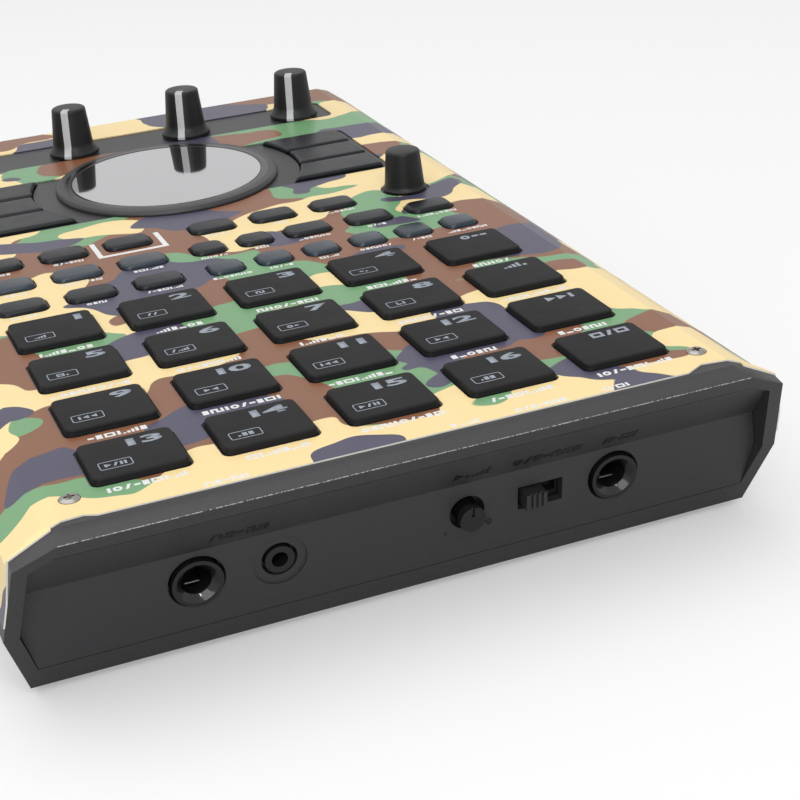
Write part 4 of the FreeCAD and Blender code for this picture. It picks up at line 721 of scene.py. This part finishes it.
def rubber_cap(name, spots, flange, corner, edge):
    """A moulded cap with a flange below the panel, a flared foot and a soft top edge."""
    low, high = box_of(spots)
    shown_low, shown_high = shown(spots)
    centre = (low + high) / 2
    flange_top = low.z + FLANGE_THICKNESS
    bpy.ops.mesh.primitive_cube_add(size=1, location=(centre.x, centre.y, (low.z + flange_top) / 2))
    cap = bpy.context.object
    cap.name = name
    cap.scale = (high.x - low.x, high.y - low.y, flange_top - low.z)
    settle(cap)
    edit_edges(cap, lambda a, b: abs(a.z - b.z) > flange_top - low.z - INK)
    bpy.ops.mesh.bevel(offset=corner + flange, segments=CORNER_STEPS, offset_type="OFFSET", affect="EDGES")
    close_edit()
    edit_faces(cap, lambda middle, normal: normal.z > UPWARD)
    bpy.ops.mesh.inset(thickness=flange - FOOT_FLARE)
    foot_top = SKIN_THICKNESS
    bpy.ops.mesh.extrude_region_move(TRANSFORM_OT_translate={"value": (0, 0, foot_top - flange_top)})
    width = shown_high.x - shown_low.x
    depth = shown_high.y - shown_low.y
    shrink = (width / (width + 2 * FOOT_FLARE), depth / (depth + 2 * FOOT_FLARE), 1)
    bpy.ops.mesh.extrude_region_move(TRANSFORM_OT_translate={"value": (0, 0, FLARE_HEIGHT)})
    bpy.ops.transform.resize(value=shrink, center_override=(centre.x, centre.y, foot_top))
    rise = high.z - foot_top - FLARE_HEIGHT
    bpy.ops.mesh.extrude_region_move(TRANSFORM_OT_translate={"value": (0, 0, rise)})
    bpy.ops.mesh.region_to_loop()
    bpy.ops.mesh.bevel(offset=edge, segments=EDGE_STEPS, offset_type="OFFSET", affect="EDGES")
    close_edit()
    smooth(cap, CAP_SMOOTH)
    return cap


def pads(finish):
    """Sixteen numbered pads and four function pads."""
    for node in NODES:
        if not node.startswith(PAD_NAMES):
            continue
        cap = rubber_cap(node + "_cap", spots_in(PANEL, node), PAD_FLANGE, PAD_CORNER, PAD_EDGE)
        settle(cap, PANEL)
        coated(cap, finish)
        stands_for(cap, node)


def keys(dark, pale):
    """Rows of small pillow-shaped keys, two rows of them smoky and paler."""
    for node in NODES:
        if "_keys_" not in node:
            continue
        caps = [rubber_cap(node, spots, KEY_FLANGE, KEY_CORNER, KEY_EDGE) for spots in loose_parts(node)]
        row = joined(node + "_caps", caps)
        settle(row, PANEL)
        coated(row, pale if node in PALE_KEY_ROWS else dark)
        stands_for(row, node)


def flared_profile(base, waist, top, rim, skirt, height):
    """Radius and height of the rings of a knob, from its skirt to its rounded top."""
    rings = [(base, 0), (base, rim)]
    for step in range(1, FLARE_STEPS + 1):
        share = step / FLARE_STEPS
        rings.append((waist + (base - waist) * (1 - share) ** 2, rim + (skirt - rim) * share))
    for step in range(ROUND_STEPS + 1):
        turn = math.pi / 2 * step / ROUND_STEPS
        rings.append((top - KNOB_ROUND * (1 - math.cos(turn)), height - KNOB_ROUND * (1 - math.sin(turn))))
    return rings


def turned(name, x, y, bottom, rings, sides):
    """A piece turned round an upright line, ring by ring, closed at both ends."""
    first_radius, first_height = rings[0]
    bpy.ops.mesh.primitive_circle_add(vertices=sides, radius=first_radius, fill_type="NGON",
                                      location=(x, y, bottom + first_height))
    piece = bpy.context.object
    piece.name = name
    settle(piece)
    edit_all(piece)
    bpy.ops.mesh.select_mode(type="VERT")
    for (radius, height), (next_radius, next_height) in zip(rings, rings[1:]):
        rise = next_height - height
        bpy.ops.mesh.extrude_region_move(TRANSFORM_OT_translate={"value": (0, 0, rise)})
        share = next_radius / radius
        centre = (x, y, bottom + next_height)
        bpy.ops.transform.resize(value=(share, share, 1), center_override=centre)
    bpy.ops.mesh.select_all(action="SELECT")
    bpy.ops.mesh.normals_make_consistent(inside=False)
    close_edit()
    return piece


def add_pointer(knob, x, y, top):
    """Parts the knob's faces along two cuts and gives the strip between them the second finish."""
    right = Vector((math.cos(POINTER_TURN), math.sin(POINTER_TURN), 0))
    front = Vector((right.y, -right.x, 0))
    axis = Vector((x, y, 0))
    for side in (-1, 1):
        edit_all(knob)
        spot = axis + right * (side * POINTER_WIDTH / 2)
        bpy.ops.mesh.bisect(plane_co=spot, plane_no=right)
        close_edit()
    edit_faces(knob, lambda middle, normal: middle.z > top - INK)
    bpy.ops.mesh.bisect(plane_co=axis + front * POINTER_REACH, plane_no=front)
    close_edit()

    def in_strip(middle, normal):
        offset = middle - axis
        ahead = offset.dot(front)
        aside = abs(offset.dot(right))
        return aside < POINTER_WIDTH / 2 and ahead > POINTER_REACH and normal.z > DOWNWARD

    for face in knob.data.polygons:
        if in_strip(face.center, face.normal):
            face.material_index = 1


def shaft(name, x, y, low, high):
    """The knob's metal shaft, with a small chamfer at its foot."""
    rings = ((SHAFT_RADIUS - SHAFT_CHAMFER, low), (SHAFT_RADIUS, low + SHAFT_CHAMFER), (SHAFT_RADIUS, high))
    return turned(name, x, y, 0, rings, SHAFT_SIDES)


def knobs(plastic, line, steel):
    """Four tall knobs with a pointer line and the shorter value knob."""
    for node in ("volume_knob", "control_knob_1", "control_knob_2", "control_knob_3", "value_knob"):
        low, high = box_of(spots_in(PANEL, node))
        centre = (low + high) / 2
        base = (high.x - low.x) / 2
        height = high.z - KNOB_GAP
        if node == "value_knob":
            rings = flared_profile(base, VALUE_WAIST, VALUE_TOP, VALUE_RIM, VALUE_SKIRT, height)
        else:
            rings = flared_profile(base, KNOB_WAIST, KNOB_TOP, KNOB_RIM, KNOB_SKIRT, height)
        knob = turned(node + "_cap", centre.x, centre.y, KNOB_GAP, rings, KNOB_SIDES)
        coated(knob, plastic, line)
        if node != "value_knob":
            add_pointer(knob, centre.x, centre.y, high.z)
        core = coated(shaft(node + "_shaft", centre.x, centre.y, low.z, KNOB_GAP), steel)
        smooth(knob, KNOB_SMOOTH)
        smooth(core)
        whole = joined(node + "_cap", [knob, core])
        settle(whole, PANEL)
        stands_for(whole, node)


def rounded(piece, width, segments):
    """Rounds a piece's sharp edges and shades its broad faces flat."""
    choose(piece)
    ease = piece.modifiers.new("eased_edges", "BEVEL")
    ease.width = width
    ease.segments = segments
    ease.limit_method = "ANGLE"
    ease.angle_limit = SHARP
    bpy.ops.object.modifier_apply(modifier=ease.name)
    smooth(piece)
    level = piece.modifiers.new("level_faces", "WEIGHTED_NORMAL")
    level.keep_sharp = True
    bpy.ops.object.modifier_apply(modifier=level.name)


def softened(node, name, width):
    """A node's mesh as a piece of its own, its flat faces whole and its sharp edges eased."""
    shell = opened_copy(node, name)
    bpy.ops.mesh.dissolve_limited(angle_limit=FLAT)
    close_edit()
    rounded(shell, width, EASE_STEPS)
    return shell


def block(x, y, width, height, lean=0.0):
    """An upright bar of a mark, in units of the mark's height, its top moved aside by a lean."""
    bpy.ops.mesh.primitive_plane_add(size=1, location=(x + width / 2, y + height / 2, 0))
    piece = bpy.context.object
    piece.scale = (width, height, 1)
    settle(piece)
    if lean:
        edit_edges(piece, lambda a, b: min(a.y, b.y) > y + height / 2)
        bpy.ops.transform.translate(value=(lean, 0, 0))
        close_edit()
    return piece


def wedge(x, y, width, height, way):
    """A triangle that points to the right or, with a way of -1, to the left."""
    piece = block(x, y, width, height)
    middle = x + width / 2
    edit_edges(piece, lambda a, b: min(a.x * way, b.x * way) > middle * way)
    bpy.ops.mesh.merge(type="CENTER")
    close_edit()
    return piece


def hollow(piece, line):
    """Leaves only the outline of a flat shape."""
    edit_all(piece)
    bpy.ops.mesh.inset(thickness=line)
    bpy.ops.mesh.delete(type="FACE")
    close_edit()
    return piece


def dot(x, y, radius):
    """A round mark about a place."""
    bpy.ops.mesh.primitive_circle_add(vertices=DOT_SIDES, radius=radius, fill_type="NGON",
                                      location=(x, y, 0))
    piece = bpy.context.object
    settle(piece)
    return piece


def arch(x, y, radius, line):
    """The upper half of a ring."""
    piece = hollow(dot(x, y, radius), line)
    edit_all(piece)
    bpy.ops.mesh.bisect(plane_co=(x, y, 0), plane_no=(0, 1, 0), clear_inner=True)
    close_edit()
    return piece


def mark_shapes():
    """Every kind of mark, one unit high, from which the printing is set."""
    return {
        "bar": [block(0, 0, 0.36, 1)],
        "post": [block(0, 0, 0.7, 1)],
        "slash": [block(0, 0, 0.36, 1, 0.4)],
        "dash": [block(0, 0, 0.85, 0.36)],
        "tie": [block(0, 0.32, 0.7, 0.36)],
        "right": [wedge(0, 0, 0.95, 1, 1)],
        "left": [wedge(0, 0, 0.95, 1, -1)],
        "point": [dot(0.22, 0.22, 0.22)],
        "disc": [dot(0.5, 0.5, 0.5)],
        "ring": [hollow(dot(0.5, 0.5, 0.5), 0.3)],
        "frame": [hollow(block(0, 0, 1.2, 1), 0.28)],
        "steps": [block(0.48 * i, 0, 0.34, 0.25 * (i + 1)) for i in range(4)],
        "wave": [block(0, 0, 0.3, 1), block(0.3, 0.7, 0.3, 0.3), block(0.6, 0, 0.3, 1),
                 block(0.9, 0, 0.3, 0.3), block(1.2, 0, 0.3, 1)],
        "corner": [block(0, 0, 0.28, 1), block(0.28, 0, 0.6, 0.28)],
        "ears": [arch(0.62, 0.45, 0.55, 0.2), block(0, 0, 0.36, 0.52), block(0.88, 0, 0.36, 0.52)],
    }


class MarkSet:
    """Kinds of marks, made once, which are copied wherever a sign is set."""

    def __init__(self):
        self.shapes = {name: joined(name + "_mark", parts) for name, parts in mark_shapes().items()}
        self.widths = {name: max(vertex.co.x for vertex in shape.data.vertices)
                       for name, shape in self.shapes.items()}

    def row(self, words, middle, bottom, height, level):
        """A row of marks of one height, centred on a place, as loose pieces."""
        names = words.split()
        total = sum(self.widths[name] for name in names) + MARK_GAP * (len(names) - 1)
        x = middle - total * height / 2
        size = Matrix.Diagonal((height, height, 1, 1))
        pieces = []
        for name in names:
            piece = copied(self.shapes[name], name)
            piece.matrix_world = Matrix.Translation((x, bottom, level)) @ size
            pieces.append(piece)
            x += (self.widths[name] + MARK_GAP) * height
        return pieces

    def clear(self):
        """Removes the patterns once all signs are set."""
        for shape in self.shapes.values():
            bpy.data.objects.remove(shape)


def printed(name, pieces, place, finish, body, height=INK):
    """Flat marks joined, given a little height and fixed to a body."""
    sheet = joined(name, pieces)
    settle(sheet, place)
    raised = sheet.modifiers.new("raised", "SOLIDIFY")
    raised.thickness = height
    raised.offset = 1
    bpy.ops.object.modifier_apply(modifier=raised.name)
    coated(sheet, finish)
    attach(sheet, body)


def number(text, right, top, level):
    """A widened number, its upper right corner at a place."""
    bpy.ops.object.text_add()
    piece = bpy.context.object
    piece.data.body = text
    piece.data.offset = DIGIT_WEIGHT
    piece.data.space_character = DIGIT_SPACING
    piece.data.resolution_u = DIGIT_STEPS
    bpy.ops.object.convert(target="MESH")
    low, high = box_of([vertex.co for vertex in piece.data.vertices])
    share = DIGIT_HEIGHT / (high.y - low.y)
    piece.matrix_world = (Matrix.Translation((right, top, level))
                          @ Matrix.Diagonal((share * DIGIT_WIDENING, share, 1, 1))
                          @ Matrix.Translation((-high.x, -high.y, 0)))
    settle(piece)
    return piece


def pad_prints(marks, paint):
    """A number and a boxed symbol on each pad, and a larger symbol on each function pad."""
    for node in NODES:
        if not node.startswith(PAD_NAMES):
            continue
        low, high = shown(spots_in(PANEL, node))
        digits = node.rsplit("_", 1)[1]
        if node.startswith("function"):
            bottom = high.y - DIGIT_INSET_Y - FUNCTION_HEIGHT
            middle = (low.x + high.x) / 2 + DIGIT_INSET_X
            pieces = marks.row(FUNCTION_SYMBOLS[int(digits)], middle, bottom, FUNCTION_HEIGHT, high.z)
        else:
            corner = Vector((low.x + SYMBOL_INSET_X, low.y + SYMBOL_INSET_Y, high.z))
            box = block(corner.x, corner.y, SYMBOL_BOX.x, SYMBOL_BOX.y)
            box.location.z = high.z
            settle(box)
            edit_all(box)
            bpy.ops.mesh.bevel(offset=SYMBOL_CORNER, segments=SYMBOL_CORNER_STEPS, affect="VERTICES")
            close_edit()
            hollow(box, SYMBOL_LINE)
            bottom = corner.y + (SYMBOL_BOX.y - SYMBOL_HEIGHT) / 2
            middle = corner.x + SYMBOL_BOX.x / 2
            pieces = marks.row(PAD_SYMBOLS[int(digits)], middle, bottom, SYMBOL_HEIGHT, high.z)
            pieces += [box, number(digits, high.x - DIGIT_INSET_X, high.y - DIGIT_INSET_Y, high.z)]
        printed(node + "_print", pieces, PANEL, paint, BODY_OF[node])


def legend(index, shortest):
    """Signs taken in turn from the list, a few more or fewer of them each time."""
    count = shortest + index * LENGTH_STRIDE % SPREAD_OF_SIGNS
    start = index * START_STRIDE
    return " ".join(LEGEND[(start + step) % len(LEGEND)] for step in range(count))


def last_top(tops):
    """The box of a row's last key, counted from the left."""
    return max(tops, key=lambda top: top[1].x)


def skin_prints(marks, paint):
    """White marks in front of each pad, each key and behind the front edge."""
    pieces = []
    index = 0
    for node in NODES:
        if node.startswith(PAD_NAMES):
            low, high = shown(spots_in(PANEL, node))
            bottom = low.y - PAD_MARK_GAP - PAD_MARK_HEIGHT / 2
            words = legend(index, PAD_LEAST_SIGNS)
            pieces += marks.row(words, (low.x + high.x) / 2, bottom, PAD_MARK_HEIGHT, SKIN_THICKNESS)
            index += 1
        elif "_keys_" in node:
            tops = [shown(spots) for spots in loose_parts(node)]
            if node == BRACKETED_ROW:
                tops.remove(last_top(tops))
            for low, high in tops:
                bottom = low.y - KEY_MARK_GAP - KEY_MARK_HEIGHT / 2
                words = legend(index, KEY_LEAST_SIGNS)
                pieces += marks.row(words, (low.x + high.x) / 2, bottom, KEY_MARK_HEIGHT, SKIN_THICKNESS)
                index += 1
    bottom = SOCKET_MARK_Y - SOCKET_MARK_HEIGHT / 2
    for words, x in zip(SOCKET_SIGNS, front_places()):
        pieces += marks.row(words, x + SOCKET_MARK_SHIFT, bottom, SOCKET_MARK_HEIGHT, SKIN_THICKNESS)
    pieces += key_bracket()
    printed("skin_print", pieces, PANEL, paint, BODY_OF["panel_skin"])


def key_bracket():
    """Lines on three sides of the last left key of the rear row."""
    low, high = last_top([shown(spots) for spots in loose_parts(BRACKETED_ROW)])
    left, right = low.x - BRACKET_MARGIN, high.x + BRACKET_MARGIN
    front, rear = low.y - BRACKET_MARGIN, high.y + BRACKET_MARGIN
    line = BRACKET_LINE
    pieces = [block(left - line, front - line, line, rear - front),
              block(right, front - line, line, rear - front),
              block(left, front - line, right - left, line)]
    for piece in pieces:
        piece.location.z = SKIN_THICKNESS
        settle(piece)
    return pieces


def front_places():
    """Where the phones sockets, the gain knob, the switch and the input lie along the front."""
    jacks = [box_of(spots) for spots in loose_parts("quarter_inch_jacks")]
    front = sorted((low.x + high.x) / 2 for low, high in jacks if high.y < NEAR_FRONT)
    mini = min((box_of(spots) for spots in loose_parts("small_sockets")), key=lambda group: group[0].y)
    phones = (front[0] + (mini[0].x + mini[1].x) / 2) / 2
    low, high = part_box("input_switch")
    travel = sum(JOINTS["input_switch_slide"]["range_m"])
    return phones, JOINTS["gain_knob_turn"]["pos_m"][0], (low.x + high.x + travel) / 2, front[1]


def front_marks(marks, paint):
    """Raised signs on the jack panel's upper band, and a small and a large dot below the gain knob."""
    spot, normal = NODES["front_panel"].ray_cast((0, -1, RAISED_LEVEL), (0, 1, 0))[1:3]
    pieces = []
    for words, x in zip(SOCKET_SIGNS, front_places()):
        pieces += marks.row(words, x, -RAISED_HEIGHT / 2, RAISED_HEIGHT, 0)
    place = face_frame(spot, normal) @ Matrix.Diagonal((1, RAISED_STRETCH, 1, 1))
    printed("front_signs", pieces, place, paint, BODY_OF["front_panel"], RAISED)
    gain = JOINTS["gain_knob_turn"]
    pieces = []
    for words, reach in (("point", -LEVEL_MARK_REACH), ("disc", LEVEL_MARK_REACH)):
        pieces += marks.row(words, reach, -LEVEL_MARK_DROP, LEVEL_MARK_HEIGHT, 0)
    place = face_frame(gain["pos_m"], gain["axis"])
    printed("level_dots", pieces, place, paint, BODY_OF["front_panel"], RAISED)


def contact_leaves(steel):
    """The bent springs that show inside the phones and input sockets."""
    gain = JOINTS["gain_knob_turn"]
    place = face_frame(gain["pos_m"], gain["axis"])
    jacks = [box_of(spots) for spots in loose_parts("quarter_inch_jacks")]
    leaves = []
    for low, high in jacks:
        if high.y > NEAR_FRONT:
            continue
        x = (low.x + high.x) / 2 - gain["pos_m"][0] + LEAF_SHIFT
        bpy.ops.mesh.primitive_cube_add(size=1, location=(x, LEAF_LIFT, -LEAF_SINK - LEAF_SIZE.z / 2))
        leaf = bpy.context.object
        leaf.scale = LEAF_SIZE
        settle(leaf)
        edit_faces(leaf, lambda middle, normal: normal.z > UPWARD)
        bpy.ops.mesh.extrude_region_move(TRANSFORM_OT_translate={"value": (0, LEAF_BEND, LEAF_BEND)})
        close_edit()
        edit_edges(leaf, lambda a, b: abs(a.z - b.z) < INK)
        bpy.ops.mesh.bevel(offset=LEAF_EDGE, segments=EASE_STEPS, affect="EDGES")
        close_edit()
        leaves.append(leaf)
    springs = joined("contact_leaves", leaves)
    settle(springs, place)
    coated(springs, steel)
    smooth(springs)
    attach(springs, BODY_OF["quarter_inch_jacks"])


def curved_bar(name, low, high, centre, radius, edge):
    """A block whose end towards the display follows a circle, with all its edges rounded."""
    middle = (low + high) / 2
    bpy.ops.mesh.primitive_grid_add(x_subdivisions=1, y_subdivisions=CURVE_STEPS, size=1,
                                    location=(middle.x, middle.y, low.z))
    bar = bpy.context.object
    bar.name = name
    bar.scale = high - low
    settle(bar)
    way = math.copysign(1, middle.x - centre.x)
    for vertex in bar.data.vertices:
        if (vertex.co.x - middle.x) * way < 0:
            reach = math.sqrt(radius ** 2 - (vertex.co.y - centre.y) ** 2)
            vertex.co.x = centre.x + way * reach
    edit_all(bar)
    bpy.ops.mesh.extrude_region_move(TRANSFORM_OT_translate={"value": (0, 0, high.z - low.z)})
    bpy.ops.mesh.select_all(action="SELECT")
    bpy.ops.mesh.normals_make_consistent(inside=False)
    close_edit()
    rounded(bar, edge, EFFECT_EDGE_STEPS)
    return bar


def effect_keys(finish):
    """The curved bars beside the display, each with a flange below the panel and a well rounded top."""
    lens_low, lens_high = box_of(spots_in(PANEL, "display_lens"))
    centre = (lens_low + lens_high) / 2
    for node in NODES:
        if not node.startswith("effect_key"):
            continue
        spots = spots_in(PANEL, node)
        cap_low, cap_high = shown(spots)
        low, high = box_of(spots)
        cap_low.z = low.z + EFFECT_FLANGE_THICKNESS / 2
        high.z = low.z + EFFECT_FLANGE_THICKNESS
        cap_radius = min((spot - centre).xy.length for spot in spots if spot.z > 0)
        radius = min((spot - centre).xy.length for spot in spots)
        cap = curved_bar(node + "_cap", cap_low, cap_high, centre, cap_radius, EFFECT_EDGE)
        flange = curved_bar(node + "_flange", low, high, centre, radius, EFFECT_FLANGE_EDGE)
        bar = joined(node + "_cap", [cap, flange])
        settle(bar, PANEL)
        coated(bar, finish)
        stands_for(bar, node)


def housing(node, finish):
    """A large moulding with its edges eased."""
    piece = coated(softened(node, node + "_shell", SHELL_EDGE), finish)
    stands_for(piece, node)


def moulding(node, finish, edge=SMALL_EDGE):
    """A small part with its edges eased."""
    piece = coated(softened(node, node + "_part", edge), finish)
    stands_for(piece, node)


def dress(node, finish):
    """A node keeps its shape and gets its finish."""
    coated(NODES[node], finish)


def aim_camera():
    """The photograph's view."""
    turn = math.radians(CAMERA_AZIMUTH)
    rise = math.radians(CAMERA_ELEVATION)
    roll = math.radians(CAMERA_ROLL)
    back = Vector((math.sin(turn) * math.cos(rise), -math.cos(turn) * math.cos(rise), math.sin(rise)))
    right = Vector((math.cos(turn), math.sin(turn), 0))
    up = back.cross(right)
    tilted_right = right * math.cos(roll) + up * math.sin(roll)
    tilted_up = up * math.cos(roll) - right * math.sin(roll)
    bpy.ops.object.camera_add()
    camera = bpy.context.object
    camera.name = "camera"
    camera.data.lens = FOCAL_LENGTH
    camera.data.sensor_width = SENSOR_WIDTH
    camera.data.clip_start = CAMERA_NEAR
    aim = Matrix((tilted_right, tilted_up, back)).transposed().to_4x4()
    camera.matrix_world = Matrix.Translation(CAMERA_PLACE) @ aim
    bpy.context.scene.camera = camera


def softbox(name, place, size, power):
    """A square lamp that looks at the sampler."""
    bpy.ops.object.light_add(type="AREA", location=place)
    lamp = bpy.context.object
    lamp.name = name
    lamp.data.size = size
    lamp.data.energy = power
    lamp.rotation_mode = "QUATERNION"
    lamp.rotation_quaternion = place.to_track_quat("Z", "Y")


def room():
    """Pale floor and an even pale surrounding."""
    bpy.ops.mesh.primitive_plane_add(size=FLOOR_SIZE)
    floor = bpy.context.object
    floor.name = "floor"
    coated(floor, floor_paper())
    softbox("softbox", SOFTBOX_PLACE, SOFTBOX_SIZE, SOFTBOX_POWER)
    softbox("fill", FILL_PLACE, FILL_SIZE, FILL_POWER)
    softbox("glint", GLINT_PLACE, GLINT_SIZE, GLINT_POWER)
    world = bpy.data.worlds.new("room")
    world.use_nodes = True
    bpy.context.scene.world = world
    sky = Nodes(world.node_tree)
    seen = 0.0
    for ray in ("Is Camera Ray", "Is Glossy Ray", "Is Transmission Ray"):
        seen = sky.maths("MAXIMUM", sky.node("LightPath", output=ray), seen)
    background = sky.tree.nodes["Background"]
    sky.feed(background.inputs["Color"], SKY_COLOUR)
    sky.feed(background.inputs["Strength"], seen * (SKY_SEEN - SKY_LIGHT) + SKY_LIGHT)


def main():
    """The view, the room and then the sampler, piece by piece."""
    bpy.context.scene.view_settings.view_transform = "Standard"
    aim_camera()
    room()
    case = case_plastic()
    ring = ring_plastic()
    skin = camouflage_skin()
    pad_rubber = rubber("pad_rubber", colour(11, 11, 13), roughness=0.6, sheen=0.27)
    key_dark = rubber("key_rubber", colour(12, 15, 19), roughness=0.34, sheen=0.3)
    key_pale = rubber("smoky_key_rubber", colour(34, 46, 57), roughness=0.27, sheen=0.45)
    knob_plastic = grained_plastic("knob_plastic", colour(17, 17, 18), CASE_ROUGHNESS, SMALL_GRAIN,
                                   SMALL_GRAIN_DEPTH, sheen=0.35)
    line_paint = ink("pointer_paint", colour(190, 190, 192))
    steel = polished("shaft_steel", colour(170, 168, 162), roughness=0.3, metallic=1.0)
    pads(pad_rubber)
    marks = MarkSet()
    pad_prints(marks, ink("pad_ink", colour(150, 158, 170)))
    skin_prints(marks, ink("skin_ink", colour(240, 240, 238)))
    front_marks(marks, polished("raised_signs", colour(20, 20, 21), roughness=0.3))
    marks.clear()
    contact_leaves(steel)
    keys(key_dark, key_pale)
    knobs(knob_plastic, line_paint, steel)
    for node in ("top_case", "bottom_case", "front_panel", "rear_panel", "battery_cover"):
        housing(node, case)
    housing("display_bezel", ring)
    dress("panel_skin", skin)
    dress("display_lens", lens_acrylic())
    dress("display_module", polished("display_glass", colour(12, 12, 16), roughness=0.1))
    board = solder_resist()
    for node in ("control_board", "main_board", "front_jack_board"):
        dress(node, board)
    # Pots and switches made near black so the inside of the switch slot looks dark: painted shade
    dress("pots_and_switches", polished("pot_body", colour(20, 20, 22), roughness=0.4))
    moulding("quarter_inch_jacks", polished("socket_plastic", colour(22, 22, 24), roughness=0.1))
    moulding("small_sockets", polished("port_plastic", colour(24, 24, 26), roughness=0.22))
    dress("batteries", cell_sleeve())
    dress("battery_contacts", steel)
    dress("rubber_feet", rubber("foot_rubber", colour(34, 34, 34), roughness=0.7))
    dress("screws", polished("screw_steel", colour(158, 156, 150), roughness=0.26, metallic=1.0))
    slider = grained_plastic("slider_plastic", colour(40, 40, 42), 0.45, SMALL_GRAIN, SMALL_GRAIN_DEPTH)
    moulding("input_switch", slider)
    moulding("power_switch", slider)
    moulding("gain_knob", polished("cap_plastic", colour(16, 16, 17), roughness=0.16), CAP_EDGE)
    dress("value_plunger", steel)
    effect_keys(key_dark)


main()
